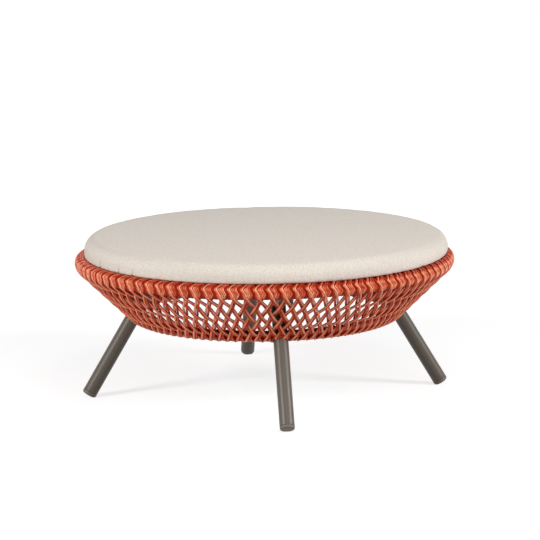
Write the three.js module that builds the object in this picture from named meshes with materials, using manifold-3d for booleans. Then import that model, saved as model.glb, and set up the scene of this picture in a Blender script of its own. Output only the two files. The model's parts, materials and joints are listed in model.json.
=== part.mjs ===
// Round outdoor footstool: a loose padded cushion in an open-woven fibre bowl on four splayed tube legs.
// Millimetres, +Z up. The origin is on the floor below the centre. The legs stand on the X and Y axes.

import * as THREE from 'three';
import { mergeVertices } from 'three/addons/utils/BufferGeometryUtils.js';
import Module from 'manifold-3d';

const wasm = await Module();
wasm.setup();

// Clearances
const SEAT_GAP = 0.3; // between pieces that rest on, or are wrapped round, each other
const WALL_CLEARANCE = 1; // between the deck bars' mitred ends and the woven wall
const CUSHION_CLEARANCE = 0.8; // between the cushion's drawn-in side and the rim's binding
const CUT_OVERRUN = 20; // how far every cutting body runs past what it cuts

// Top ring: a metal tube bound with woven fibre
const RIM_OUTER_DIAMETER = 840;
const RIM_TUBE_DIAMETER = 25;
const RIM_BINDING_THICKNESS = 4.7;
const RIM_CENTRE_HEIGHT = 299;
const RIM_STEPS = 60;
const RIM_TUBE_SIDES = 8;
const RIM_BINDING_SIDES = 12;

// Legs: straight round tubes splayed outwards, with their tops cut level
const FOOT_INSET = 20; // from the rim's outer edge in to where the legs' centre lines meet the floor
const LEG_SPLAY_DEGREES = 30.7; // from upright
const LEG_DIAMETER = 32;
const LEG_WALL = 2;
const LEG_SIDES = 28;

// Foot glides: moulded plugs with a rounded sole that is moulded flat where it meets the floor
const GLIDE_HEAD_HEIGHT = 8;
const GLIDE_EDGE_RADIUS = 4;
const GLIDE_SOLE_CROWN = 1;
const GLIDE_FLAT_DEPTH = 1.2;
const GLIDE_SPIGOT_LENGTH = 24;
const GLIDE_SPIGOT_CHAMFER = 2;
const GLIDE_SIDES = 16;
const GLIDE_EDGE_STEPS = 3;

// Lower hoop: four arcs of tube between the legs, each wound with fibre
const HOOP_HEIGHT = 186.5;
const HOOP_TUBE_DIAMETER = 13;
const HOOP_WINDING_THICKNESS = 5.2;
const HOOP_STEPS = 48;
const HOOP_TUBE_SIDES = 6;
const HOOP_WINDING_SIDES = 8;

// Woven wall: two crossing families of strands between the two rings
const STRANDS_PER_FAMILY = 48;
const STRAND_ROWS = 3; // crossings from the rim down to the hoop
const STRAND_WIDTH = 13;
const WEAVE_THICKNESS = 4;
const WEAVE_BORDER = 6; // where the strands close up beside each ring

// Deck bars: flat rectangular tubes under the rim, with the leg tops welded to them
const BAR_WIDTH = 30;
const BAR_HEIGHT = 15;
const BAR_WALL = 1.5;

// Webbing: two layers of belts across the rim
const BELT_WIDTH = 50;
const BELT_THICKNESS = 2;
const BELT_PITCH = 120;
const BELTS_PER_LAYER = 5;
const BELT_DROP = 3; // from the rim's centre down to the upper layer's face

// Cushion
const CUSHION_INSET = 17.5; // from the rim's outer edge in to the cushion's widest line
const CUSHION_SIDE_HEIGHT = 61; // from its base to its shoulder
const CUSHION_EDGE_RADIUS = 29;
const CUSHION_CROWN = 5;
const CUSHION_UNDERCUT_DEGREES = 38; // how its side draws in under the widest line
const COVER_THICKNESS = 2;
const COVER_HEM = 32; // the cover's return under the cushion
const BASE_CLOTH_THICKNESS = 3;
const CUSHION_STEPS = 48;
const CUSHION_EDGE_STEPS = 5;
const CROWN_RING_SHARES = [0.75, 0.4];

// Zip across the cushion's base
const ZIP_LENGTH = 540;
const ZIP_SLOT_WIDTH = 22;
const ZIP_TAPE_WIDTH = 40;
const ZIP_TAPE_THICKNESS = 1;
const ZIP_CHAIN_WIDTH = 6;
const ZIP_CHAIN_HEIGHT = 1.5;
const ZIP_STOP_LENGTH = 6;
const ZIP_STOP_WIDTH = 10;
const SLIDER_LENGTH = 14;
const SLIDER_WIDTH = 10;
const SLIDER_PLATE = 1.4;

// Placed by the sizes above
const SPLAY = THREE.MathUtils.degToRad(LEG_SPLAY_DEGREES);
const LEG_RADIUS = LEG_DIAMETER / 2;
const FOOT_CIRCLE_RADIUS = RIM_OUTER_DIAMETER / 2 - FOOT_INSET;
const legAxisRadius = (height) => FOOT_CIRCLE_RADIUS - height * Math.tan(SPLAY);

const RIM_TUBE_RADIUS = RIM_TUBE_DIAMETER / 2;
const RIM_BORE_RADIUS = RIM_TUBE_RADIUS + SEAT_GAP;
const RIM_BOUND_RADIUS = RIM_BORE_RADIUS + RIM_BINDING_THICKNESS;
const RIM_RADIUS = RIM_OUTER_DIAMETER / 2 - RIM_BOUND_RADIUS;

const HOOP_RADIUS = legAxisRadius(HOOP_HEIGHT);
const HOOP_TUBE_RADIUS = HOOP_TUBE_DIAMETER / 2;
const HOOP_BORE_RADIUS = HOOP_TUBE_RADIUS + SEAT_GAP;
const HOOP_BOUND_RADIUS = HOOP_BORE_RADIUS + HOOP_WINDING_THICKNESS;

const BAR_TOP = RIM_CENTRE_HEIGHT - RIM_BORE_RADIUS;
const BAR_BOTTOM = BAR_TOP - BAR_HEIGHT;
const LEG_TOP = BAR_BOTTOM - SEAT_GAP;

const BELT_TOP = RIM_CENTRE_HEIGHT - BELT_DROP;
const CUSHION_BASE = BELT_TOP + SEAT_GAP;
const CUSHION_RADIUS = RIM_OUTER_DIAMETER / 2 - CUSHION_INSET;

// Solids and geometries

/** Makes a closed geometry into a solid that can be cut and joined. */
function solidOf(geometry) {
  const bare = geometry.index ? geometry.toNonIndexed() : geometry.clone();
  bare.deleteAttribute('normal');
  bare.deleteAttribute('uv');
  const merged = mergeVertices(bare);
  const index = merged.index.array;
  const kept = [];
  for (let i = 0; i < index.length; i += 3) {
    const [a, b, c] = [index[i], index[i + 1], index[i + 2]];
    if (a !== b && b !== c && c !== a) {
      kept.push(a, b, c);
    }
  }
  const vertProperties = new Float32Array(merged.attributes.position.array);
  return new wasm.Manifold(new wasm.Mesh({ numProp: 3, vertProperties, triVerts: new Uint32Array(kept) }));
}

/** Gives a solid back as a geometry. */
function geometryOf(solid) {
  const mesh = solid.getMesh();
  const geometry = new THREE.BufferGeometry();
  geometry.setAttribute('position', new THREE.BufferAttribute(new Float32Array(mesh.vertProperties), 3));
  geometry.setIndex(new THREE.BufferAttribute(new Uint32Array(mesh.triVerts), 1));
  geometry.computeVertexNormals();
  return geometry;
}

/** A ring of round section about the Z axis. */
function ring(radius, tubeRadius, sides, steps, height) {
  const geometry = new THREE.TorusGeometry(radius, tubeRadius, sides, steps);
  geometry.translate(0, 0, height);
  return solidOf(geometry);
}

/** A body turned about the Z axis from [radius, height] points that start and end on the axis. */
function turned(points, steps) {
  const profile = points.map(([radius, height]) => new THREE.Vector2(radius, height));
  const geometry = new THREE.LatheGeometry(profile, steps);
  geometry.rotateX(Math.PI / 2);
  return solidOf(geometry);
}

/** A box between two corners. */
function block(low, high) {
  const size = high.map((value, axis) => value - low[axis]);
  const geometry = new THREE.BoxGeometry(...size);
  geometry.translate(...high.map((value, axis) => (value + low[axis]) / 2));
  return solidOf(geometry);
}

/** A side outline of [x, z] points given a width along Y, centred on the XZ plane. */
function plate(outline, width) {
  const shape = new THREE.Shape(outline.map(([x, z]) => new THREE.Vector2(x, z)));
  const geometry = new THREE.ExtrudeGeometry(shape, { depth: width, bevelEnabled: false });
  geometry.translate(0, 0, -width / 2);
  geometry.rotateX(Math.PI / 2);
  return solidOf(geometry);
}

/** Turns geometry drawn along +Z from a leg's foot into the splayed leg over the +X axis. */
function splayed(geometry, footHeight) {
  geometry.rotateY(-SPLAY);
  geometry.translate(legAxisRadius(footHeight), 0, footHeight);
  return geometry;
}

/** A round bar along a leg's centre line, run past both ends for cutting or trimming. */
function legBar(radius, footHeight, sides) {
  const length = LEG_TOP / Math.cos(SPLAY) + LEG_DIAMETER + CUT_OVERRUN;
  const geometry = new THREE.CylinderGeometry(radius, radius, length, sides);
  geometry.rotateX(Math.PI / 2);
  geometry.translate(0, 0, length / 2);
  return solidOf(splayed(geometry, footHeight));
}

// Foot and leg over the +X axis

/** Height of the sole's centre above the floor, with the sole's low edge cut flat by its depth. */
function soleHeight() {
  const edgeCentreRadius = LEG_RADIUS - GLIDE_EDGE_RADIUS;
  const lowEdge = GLIDE_EDGE_RADIUS * Math.cos(SPLAY) - edgeCentreRadius * Math.sin(SPLAY) - GLIDE_EDGE_RADIUS;
  return -lowEdge - GLIDE_FLAT_DEPTH;
}

const SOLE_HEIGHT = soleHeight();

/** The glide: a crowned, round-edged sole, a head as wide as the leg and a chamfered spigot in its bore. */
function footGlide() {
  const edgeCentreRadius = LEG_RADIUS - GLIDE_EDGE_RADIUS;
  const spigotRadius = LEG_RADIUS - LEG_WALL - SEAT_GAP;
  const spigotTop = GLIDE_HEAD_HEIGHT + GLIDE_SPIGOT_LENGTH;
  const profile = [[0, -GLIDE_SOLE_CROWN]];
  for (let i = 0; i <= GLIDE_EDGE_STEPS; i += 1) {
    const turn = (Math.PI / 2) * (i / GLIDE_EDGE_STEPS);
    const radius = edgeCentreRadius + GLIDE_EDGE_RADIUS * Math.sin(turn);
    profile.push([radius, GLIDE_EDGE_RADIUS * (1 - Math.cos(turn))]);
  }
  profile.push([LEG_RADIUS, GLIDE_HEAD_HEIGHT], [spigotRadius, GLIDE_HEAD_HEIGHT]);
  profile.push([spigotRadius, spigotTop - GLIDE_SPIGOT_CHAMFER]);
  profile.push([spigotRadius - GLIDE_SPIGOT_CHAMFER, spigotTop], [0, spigotTop]);
  const upright = geometryOf(turned(profile, GLIDE_SIDES));
  const reach = FOOT_CIRCLE_RADIUS + LEG_DIAMETER + CUT_OVERRUN;
  const floor = block([-reach, -reach, -LEG_DIAMETER - CUT_OVERRUN], [reach, reach, 0]);
  return geometryOf(solidOf(splayed(upright, SOLE_HEIGHT)).subtract(floor));
}

/** A body closed by quads between rings of the same number of points, the last ring joined to the first. */
function sleeve(rings) {
  const count = rings[0].length;
  const index = [];
  rings.forEach((ring, r) => {
    const next = (r + 1) % rings.length;
    ring.forEach((point, k) => {
      const [a, b] = [r * count + k, r * count + ((k + 1) % count)];
      const [c, d] = [next * count + ((k + 1) % count), next * count + k];
      index.push(a, b, c, a, c, d);
    });
  });
  const geometry = new THREE.BufferGeometry();
  geometry.setAttribute('position', new THREE.Float32BufferAttribute(rings.flat(2), 3));
  geometry.setIndex(index);
  geometry.computeVertexNormals();
  return geometry;
}

/** The leg tube, from the glide's head up to its level top under the deck bar. */
function legTube() {
  const alongHead = GLIDE_HEAD_HEIGHT + SEAT_GAP;
  const start = SOLE_HEIGHT + alongHead * Math.cos(SPLAY);
  const circle = (radius, end) => Array.from({ length: LEG_SIDES }, (_, k) => {
    const turn = (2 * Math.PI * k) / LEG_SIDES;
    const across = radius * Math.cos(turn);
    const along = end * ((LEG_TOP - start) / Math.cos(SPLAY) - across * Math.tan(SPLAY));
    return [across, radius * Math.sin(turn), along];
  });
  const bore = LEG_RADIUS - LEG_WALL;
  return splayed(sleeve([circle(LEG_RADIUS, 0), circle(LEG_RADIUS, 1), circle(bore, 1), circle(bore, 0)]), start);
}

/** The space that every ring leaves round the four legs. */
function legClearance() {
  const one = legBar(LEG_RADIUS + SEAT_GAP, 0, LEG_SIDES);
  return [0, 90, 180, 270].map((turn) => one.rotate([0, 0, turn])).reduce((all, next) => all.add(next));
}

const LEG_CLEARANCE = legClearance();

// Lower hoop, the quarter from the +X leg to the +Y leg

/** Keeps the quarter of a ring that lies between two legs. */
function quarterOf(solid) {
  const reach = RIM_OUTER_DIAMETER;
  const quarter = block([0, 0, 0], [reach, reach, reach]);
  return solid.intersect(quarter).subtract(LEG_CLEARANCE);
}

function hoopTube() {
  const tube = ring(HOOP_RADIUS, HOOP_TUBE_RADIUS, HOOP_TUBE_SIDES, HOOP_STEPS, HOOP_HEIGHT);
  return geometryOf(quarterOf(tube));
}

function hoopWinding() {
  const outside = ring(HOOP_RADIUS, HOOP_BOUND_RADIUS, HOOP_WINDING_SIDES, HOOP_STEPS, HOOP_HEIGHT);
  const bore = ring(HOOP_RADIUS, HOOP_BORE_RADIUS, HOOP_TUBE_SIDES, HOOP_STEPS, HOOP_HEIGHT);
  return geometryOf(quarterOf(outside.subtract(bore)));
}

// Woven wall

/** The wall's middle line, which touches the outer sides of both bound rings. */
function wallLine() {
  const rise = RIM_CENTRE_HEIGHT - HOOP_HEIGHT;
  const spread = RIM_RADIUS - HOOP_RADIUS;
  const span = Math.hypot(rise, spread);
  const lean = Math.atan2(rise, spread) - Math.acos((RIM_BOUND_RADIUS - HOOP_BOUND_RADIUS) / span);
  const outwards = new THREE.Vector2(Math.cos(lean), Math.sin(lean));
  const down = new THREE.Vector2(outwards.y, -outwards.x);
  const top = new THREE.Vector2(RIM_RADIUS, RIM_CENTRE_HEIGHT).addScaledVector(outwards, RIM_BOUND_RADIUS);
  const foot = new THREE.Vector2(HOOP_RADIUS, HOOP_HEIGHT).addScaledVector(outwards, HOOP_BOUND_RADIUS);
  return { outwards, down, top, length: top.distanceTo(foot) };
}

const WALL = wallLine();

/** Radius and height on the wall, by the distance down it and the distance out from its middle. */
function onWall(along, out) {
  return WALL.top.clone().addScaledVector(WALL.down, along).addScaledVector(WALL.outwards, out);
}

/** Distance along the wall at which its inner face clears a bound ring that it touches. */
function tuck(boundRadius) {
  return Math.sqrt((boundRadius + SEAT_GAP) ** 2 - (boundRadius - WEAVE_THICKNESS / 2) ** 2);
}

/** The open lattice: border bands at both rings with crossing strands between them. */
function basketWeave() {
  const start = tuck(RIM_BOUND_RADIUS);
  const end = WALL.length - tuck(HOOP_BOUND_RADIUS);
  const firstRow = start + WEAVE_BORDER;
  const lastRow = end - WEAVE_BORDER;
  const shrink = onWall(lastRow, 0).x / onWall(firstRow, 0).x;
  const coneShare = (onWall(firstRow, 0).x - onWall(lastRow, 0).x) / (lastRow - firstRow);
  const rowAt = (row) => firstRow + (onWall(firstRow, 0).x * (1 - shrink ** (row / STRAND_ROWS))) / coneShare;
  const pitch = (2 * Math.PI) / STRANDS_PER_FAMILY;
  const rise = -Math.log(shrink) / STRAND_ROWS / coneShare;
  const slope = Math.atan2(rise, pitch / 2);
  const halfWide = STRAND_WIDTH / 2 / Math.sin(slope);
  const halfTall = STRAND_WIDTH / 2 / Math.cos(slope);

  const points = [];
  const faces = [];
  const point = (along, turn) => points.push([along, turn]) - 1;
  const face = (...corners) => {
    for (let i = 2; i < corners.length; i += 1) {
      faces.push([corners[0], corners[i - 1], corners[i]]);
    }
  };

  const crossings = [];
  for (let row = 0; row <= STRAND_ROWS; row += 1) {
    const along = rowAt(row);
    const sideways = halfWide / onWall(along, 0).x;
    const line = [];
    for (let k = 0; k < STRANDS_PER_FAMILY; k += 1) {
      const turn = (k + (row % 2) / 2) * pitch;
      line.push({
        left: point(along, turn - sideways),
        right: point(along, turn + sideways),
        up: row === 0 ? point(start, turn) : point(along - halfTall, turn),
        down: row === STRAND_ROWS ? point(end, turn) : point(along + halfTall, turn),
      });
    }
    crossings.push(line);
  }

  const wrapped = (k) => (k + STRANDS_PER_FAMILY) % STRANDS_PER_FAMILY;
  crossings.forEach((line, row) => line.forEach((here, k) => {
    face(here.up, here.left, here.down, here.right);
    const next = line[wrapped(k + 1)];
    if (row === 0) {
      face(here.up, here.right, next.left, next.up);
    }
    if (row === STRAND_ROWS) {
      face(here.right, here.down, next.down, next.left);
      return;
    }
    const below = crossings[row + 1];
    const toLeft = below[wrapped(k - 1 + (row % 2))];
    const toRight = below[wrapped(k + (row % 2))];
    face(here.left, toLeft.up, toLeft.right, here.down);
    face(here.down, toRight.left, toRight.up, here.right);
  }));
  return geometryOf(thickened(points, faces).subtract(LEG_CLEARANCE));
}

/** Gives the lattice's faces their thickness and closes every free edge. */
function thickened(points, faces) {
  const position = [];
  points.forEach(([along, turn]) => [WEAVE_THICKNESS / 2, -WEAVE_THICKNESS / 2].forEach((out) => {
    const place = onWall(along, out);
    position.push(place.x * Math.cos(turn), place.x * Math.sin(turn), place.y);
  }));
  const used = new Set();
  faces.forEach(([a, b, c]) => [[a, b], [b, c], [c, a]].forEach(([from, to]) => used.add(`${from}_${to}`)));
  const index = [];
  faces.forEach(([a, b, c]) => {
    index.push(2 * a, 2 * b, 2 * c);
    index.push(2 * a + 1, 2 * c + 1, 2 * b + 1);
    [[a, b], [b, c], [c, a]].forEach(([from, to]) => {
      if (!used.has(`${to}_${from}`)) {
        index.push(2 * to, 2 * from, 2 * from + 1);
        index.push(2 * to, 2 * from + 1, 2 * to + 1);
      }
    });
  });
  const geometry = new THREE.BufferGeometry();
  geometry.setAttribute('position', new THREE.Float32BufferAttribute(position, 3));
  geometry.setIndex(index);
  return solidOf(geometry);
}

// Deck bars

/** Radius of the woven wall's inner face at a height. */
function wallRadiusAt(height) {
  const from = onWall(0, -WEAVE_THICKNESS / 2);
  return from.x + ((height - from.y) * WALL.down.x) / WALL.down.y;
}

/** Half a deck bar along +X, with its end mitred to the wall; grown on all sides to cut its clearance. */
function halfBar(start, grow) {
  const [low, high] = [BAR_BOTTOM - grow, BAR_TOP + grow];
  const outline = [
    [start, low],
    [wallRadiusAt(low) - WALL_CLEARANCE + grow, low],
    [wallRadiusAt(high) - WALL_CLEARANCE + grow, high],
    [start, high],
  ];
  return plate(outline, BAR_WIDTH + 2 * grow);
}

/** The bore that makes a bar a rectangular tube. */
function barBore(start) {
  const half = BAR_WIDTH / 2 - BAR_WALL;
  return block([start, -half, BAR_BOTTOM + BAR_WALL], [RIM_OUTER_DIAMETER, half, BAR_TOP - BAR_WALL]);
}

function longBar() {
  const half = halfBar(0, 0);
  return geometryOf(half.add(half.rotate([0, 0, 180])).subtract(barBore(-RIM_OUTER_DIAMETER)));
}

function crossBar() {
  const start = BAR_WIDTH / 2 + SEAT_GAP;
  return geometryOf(halfBar(start, 0).subtract(barBore(0)));
}

// Rim

function rimTube() {
  return geometryOf(ring(RIM_RADIUS, RIM_TUBE_RADIUS, RIM_TUBE_SIDES, RIM_STEPS, RIM_CENTRE_HEIGHT));
}

/** The binding: a sleeve round the rim's tube, left open where each deck bar is welded on. */
function rimWrap() {
  const outside = ring(RIM_RADIUS, RIM_BOUND_RADIUS, RIM_BINDING_SIDES, RIM_STEPS, RIM_CENTRE_HEIGHT);
  const bore = ring(RIM_RADIUS, RIM_BORE_RADIUS, RIM_TUBE_SIDES, RIM_STEPS, RIM_CENTRE_HEIGHT);
  const sleeve = outside.subtract(bore);
  const notch = halfBar(0, SEAT_GAP + SEAT_GAP);
  return geometryOf([0, 90, 180, 270].reduce((body, turn) => body.subtract(notch.rotate([0, 0, turn])), sleeve));
}

// Webbing

/** One belt along X at a distance from the middle, with its ends cut to the rim's binding. */
function belt(offset, top) {
  const slab = block(
    [-RIM_RADIUS, offset - BELT_WIDTH / 2, top - BELT_THICKNESS],
    [RIM_RADIUS, offset + BELT_WIDTH / 2, top],
  );
  const disc = turned([[0, 0], [RIM_RADIUS, 0], [RIM_RADIUS, RIM_OUTER_DIAMETER], [0, RIM_OUTER_DIAMETER]], RIM_STEPS);
  const boundRim = ring(RIM_RADIUS, RIM_BOUND_RADIUS + SEAT_GAP, RIM_BINDING_SIDES, RIM_STEPS, RIM_CENTRE_HEIGHT);
  return geometryOf(slab.intersect(disc).subtract(boundRim));
}

// Cushion

/** Outline of the cushion from its base to its crown, drawn in by an inset from its outer face. */
function cushionProfile(inset, base) {
  const undercut = THREE.MathUtils.degToRad(CUSHION_UNDERCUT_DEGREES);
  const clear = RIM_BOUND_RADIUS + CUSHION_CLEARANCE + inset;
  const sideRadius = RIM_RADIUS - clear * Math.sin(undercut);
  const sideHeight = RIM_CENTRE_HEIGHT + clear * Math.cos(undercut);
  const shoulder = CUSHION_BASE + CUSHION_SIDE_HEIGHT;
  const edgeRadius = CUSHION_RADIUS - CUSHION_EDGE_RADIUS;
  const edgeHeight = shoulder - CUSHION_EDGE_RADIUS;
  const round = CUSHION_EDGE_RADIUS - inset;
  const toSide = (sideRadius - edgeRadius) * Math.sin(undercut) - (sideHeight - edgeHeight) * Math.cos(undercut);
  const firstTurn = undercut - Math.PI / 2 + Math.acos(toSide / round);
  const baseRadius = sideRadius + (base - sideHeight) / Math.tan(undercut);
  const points = [[0, base], [baseRadius, base]];
  for (let i = 0; i <= CUSHION_EDGE_STEPS; i += 1) {
    const turn = firstTurn + (Math.PI / 2 - firstTurn) * (i / CUSHION_EDGE_STEPS);
    points.push([edgeRadius + round * Math.cos(turn), edgeHeight + round * Math.sin(turn)]);
  }
  CROWN_RING_SHARES.forEach((share) => {
    points.push([edgeRadius * share, shoulder - inset + CUSHION_CROWN * (1 - share ** 2)]);
  });
  points.push([0, shoulder - inset + CUSHION_CROWN]);
  return points;
}

const HALF_CHAIN = ZIP_LENGTH / 2 - SEAT_GAP;
const SLIDER_REACH = HALF_CHAIN - ZIP_STOP_LENGTH - SEAT_GAP - SLIDER_LENGTH / 2; // either way from the middle
const HEM_RADIUS = cushionProfile(0, CUSHION_BASE)[1][0] - COVER_HEM;
const TAPE_BOTTOM = CUSHION_BASE + BASE_CLOTH_THICKNESS + SEAT_GAP;
const TAPE_TOP = TAPE_BOTTOM + ZIP_TAPE_THICKNESS;

/** The cover: top, side and the hem under the cushion, open where the base cloth closes it. */
function cushionCover() {
  const outside = turned(cushionProfile(0, CUSHION_BASE), CUSHION_STEPS);
  const inside = turned(cushionProfile(COVER_THICKNESS, CUSHION_BASE + COVER_THICKNESS), CUSHION_STEPS);
  const mouth = turned([[0, 0], [HEM_RADIUS, 0], [HEM_RADIUS, TAPE_TOP], [0, TAPE_TOP]], CUSHION_STEPS);
  return geometryOf(outside.subtract(inside).subtract(mouth));
}

/** The foam, with a channel over the zip. */
function cushionFoam() {
  const inset = COVER_THICKNESS + SEAT_GAP;
  const foam = turned(cushionProfile(inset, TAPE_BOTTOM), CUSHION_STEPS);
  const [halfLength, halfWidth] = [ZIP_LENGTH / 2 + ZIP_STOP_LENGTH, ZIP_TAPE_WIDTH / 2 + SEAT_GAP];
  const channel = block([-halfLength, -halfWidth, 0], [halfLength, halfWidth, TAPE_TOP + SEAT_GAP]);
  return geometryOf(foam.subtract(channel));
}

/** Half of the base cloth, on the +Y side of the zip's slot. */
function baseCloth() {
  const radius = HEM_RADIUS - SEAT_GAP;
  const [low, high] = [CUSHION_BASE, CUSHION_BASE + BASE_CLOTH_THICKNESS];
  const disc = turned([[0, low], [radius, low], [radius, high], [0, high]], CUSHION_STEPS);
  const [halfLength, halfSlot] = [ZIP_LENGTH / 2, ZIP_SLOT_WIDTH / 2];
  const slot = block([-halfLength, -halfSlot, 0], [halfLength, halfSlot, TAPE_TOP]);
  const otherHalf = block([-HEM_RADIUS, -HEM_RADIUS, 0], [HEM_RADIUS, SEAT_GAP / 2, TAPE_TOP]);
  return geometryOf(disc.subtract(slot).subtract(otherHalf));
}

/** The closed zip: its tape, with the chain and the stop at each end hanging in the slot. */
function zipTape() {
  const halfTape = ZIP_LENGTH / 2 + ZIP_STOP_LENGTH - SEAT_GAP;
  const chainBottom = TAPE_BOTTOM - ZIP_CHAIN_HEIGHT;
  const tape = block([-halfTape, -ZIP_TAPE_WIDTH / 2, TAPE_BOTTOM], [halfTape, ZIP_TAPE_WIDTH / 2, TAPE_TOP]);
  const chain = block([-HALF_CHAIN, -ZIP_CHAIN_WIDTH / 2, chainBottom], [HALF_CHAIN, ZIP_CHAIN_WIDTH / 2, TAPE_TOP]);
  const stops = [-1, 1].map((side) => {
    const [outer, inner] = [side * HALF_CHAIN, side * (HALF_CHAIN - ZIP_STOP_LENGTH)];
    const half = ZIP_STOP_WIDTH / 2;
    return block([Math.min(outer, inner), -half, chainBottom], [Math.max(outer, inner), half, TAPE_TOP]);
  });
  return geometryOf(stops.reduce((body, stop) => body.add(stop), tape.add(chain)));
}

/** The slider: a channel that clasps the chain, parked at the closed end. */
function zipSlider() {
  const chainBottom = TAPE_BOTTOM - ZIP_CHAIN_HEIGHT;
  const [half, low, high] = [SLIDER_LENGTH / 2, chainBottom - SEAT_GAP - SLIDER_PLATE, TAPE_BOTTOM - SEAT_GAP];
  const body = block([-half, -SLIDER_WIDTH / 2, low], [half, SLIDER_WIDTH / 2, high]);
  const bore = ZIP_CHAIN_WIDTH / 2 + SEAT_GAP;
  return geometryOf(body.subtract(block([-SLIDER_LENGTH, -bore, low + SLIDER_PLATE], [SLIDER_LENGTH, bore, TAPE_TOP])));
}

// Materials

const finish = (color, roughness, metalness) => ({ color, roughness, metalness });
const POWDER_COAT = finish('#6b6258', 0.45, 0.3);
const FIBRE = finish('#c45a3b', 0.55, 0);
const BARE_METAL = finish('#a7a8a8', 0.4, 1);
const GLIDE_PLASTIC = finish('#4a443e', 0.6, 0);
const WEBBING = finish('#3b3835', 0.85, 0);
const CUSHION_FABRIC = finish('#dcd5ca', 0.9, 0);
const FOAM = finish('#e8e4da', 0.95, 0);
const ZIP_PLASTIC = finish('#bdb6aa', 0.5, 0);

/** One named sub-part with its own material. */
function piece(name, geometry, look) {
  const mesh = new THREE.Mesh(geometry, new THREE.MeshStandardMaterial(look));
  mesh.name = name;
  return mesh;
}

// Assembly

const ottoman = new THREE.Group();
const frame = new THREE.Group();
const cushion = new THREE.Group();
ottoman.add(frame, cushion);

frame.add(piece('rim_tube', rimTube(), BARE_METAL));
frame.add(piece('rim_wrap', rimWrap(), FIBRE));
frame.add(piece('basket_weave', basketWeave(), FIBRE));
frame.add(piece('deck_bar_long', longBar(), POWDER_COAT));

const SIDES = ['right', 'back', 'left', 'front'];
const shared = { leg: legTube(), glide: footGlide(), tube: hoopTube(), winding: hoopWinding(), bar: crossBar() };
SIDES.forEach((side, i) => {
  const corner = new THREE.Group();
  corner.rotation.z = (i * Math.PI) / 2;
  corner.add(piece(`leg_${side}`, shared.leg, POWDER_COAT));
  corner.add(piece(`foot_glide_${side}`, shared.glide, GLIDE_PLASTIC));
  corner.add(piece(`lower_hoop_${i + 1}`, shared.tube, BARE_METAL));
  corner.add(piece(`lower_hoop_wrap_${i + 1}`, shared.winding, FIBRE));
  if (side === 'front' || side === 'back') {
    corner.add(piece(`deck_bar_${side}`, shared.bar, POWDER_COAT));
  }
  frame.add(corner);
});

const upperBelts = new THREE.Group();
const lowerBelts = new THREE.Group();
lowerBelts.rotation.z = Math.PI / 2;
frame.add(upperBelts, lowerBelts);
for (let i = 0; i < BELTS_PER_LAYER; i += 1) {
  const offset = (i - (BELTS_PER_LAYER - 1) / 2) * BELT_PITCH;
  upperBelts.add(piece(`deck_belt_x_${i + 1}`, belt(offset, BELT_TOP), WEBBING));
  lowerBelts.add(piece(`deck_belt_y_${i + 1}`, belt(offset, BELT_TOP - BELT_THICKNESS - SEAT_GAP), WEBBING));
}

cushion.add(piece('cushion_cover', cushionCover(), CUSHION_FABRIC));
cushion.add(piece('cushion_foam', cushionFoam(), FOAM));
const backBase = piece('cushion_base_back', baseCloth(), CUSHION_FABRIC);
const frontBase = piece('cushion_base_front', baseCloth(), CUSHION_FABRIC);
frontBase.rotation.z = Math.PI;
cushion.add(backBase, frontBase, piece('zip_tape', zipTape(), ZIP_PLASTIC));
const slider = piece('zip_slider', zipSlider(), ZIP_PLASTIC);
slider.position.x = -SLIDER_REACH;
cushion.add(slider);

export default ottoman;
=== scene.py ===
"""Round outdoor footstool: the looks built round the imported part.

Metres, +Z up, with the legs on the X and Y axes and the front leg towards -Y. The frame gives every body
its place; the classes below build what is seen: woven basket, rings, legs, deck, webbing and cushion.
"""

import json
import logging
import math
from dataclasses import dataclass
from enum import Enum

import bmesh
import bpy
import numpy as np
from mathutils import Matrix, Vector
from mathutils.kdtree import KDTree

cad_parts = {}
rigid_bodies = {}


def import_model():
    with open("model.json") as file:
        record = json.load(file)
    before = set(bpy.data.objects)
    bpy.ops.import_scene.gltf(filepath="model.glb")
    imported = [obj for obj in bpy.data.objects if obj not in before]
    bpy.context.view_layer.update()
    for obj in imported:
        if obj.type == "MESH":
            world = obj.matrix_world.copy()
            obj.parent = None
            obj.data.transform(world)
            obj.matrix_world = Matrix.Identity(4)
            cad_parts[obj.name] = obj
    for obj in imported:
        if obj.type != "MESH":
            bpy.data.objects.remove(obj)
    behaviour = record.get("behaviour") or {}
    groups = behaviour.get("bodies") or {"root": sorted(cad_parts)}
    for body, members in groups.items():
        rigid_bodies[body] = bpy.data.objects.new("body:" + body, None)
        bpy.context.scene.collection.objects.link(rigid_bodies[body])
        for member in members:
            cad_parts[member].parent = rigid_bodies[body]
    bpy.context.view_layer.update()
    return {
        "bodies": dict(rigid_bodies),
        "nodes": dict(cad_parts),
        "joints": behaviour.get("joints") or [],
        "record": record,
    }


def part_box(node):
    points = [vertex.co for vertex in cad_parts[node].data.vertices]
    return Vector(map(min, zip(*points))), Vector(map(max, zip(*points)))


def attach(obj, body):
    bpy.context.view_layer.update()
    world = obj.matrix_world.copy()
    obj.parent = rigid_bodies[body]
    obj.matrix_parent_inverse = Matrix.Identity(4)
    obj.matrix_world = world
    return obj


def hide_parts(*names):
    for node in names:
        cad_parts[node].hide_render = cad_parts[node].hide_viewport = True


log = logging.getLogger("footstool")

MM = 0.001
UP = np.array([0.0, 0.0, 1.0])


def linear(colour: str) -> tuple[float, float, float, float]:
    """Turns an sRGB hex colour into the linear values that a shader takes.

    Args:
        colour: Six hex digits after a hash.

    Returns:
        Red, green, blue and an alpha of one.
    """
    shares = [int(colour[i : i + 2], 16) / 255 for i in (1, 3, 5)]
    red, green, blue = (s / 12.92 if s <= 0.04045 else ((s + 0.055) / 1.055) ** 2.4 for s in shares)
    return (red, green, blue, 1.0)


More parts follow.
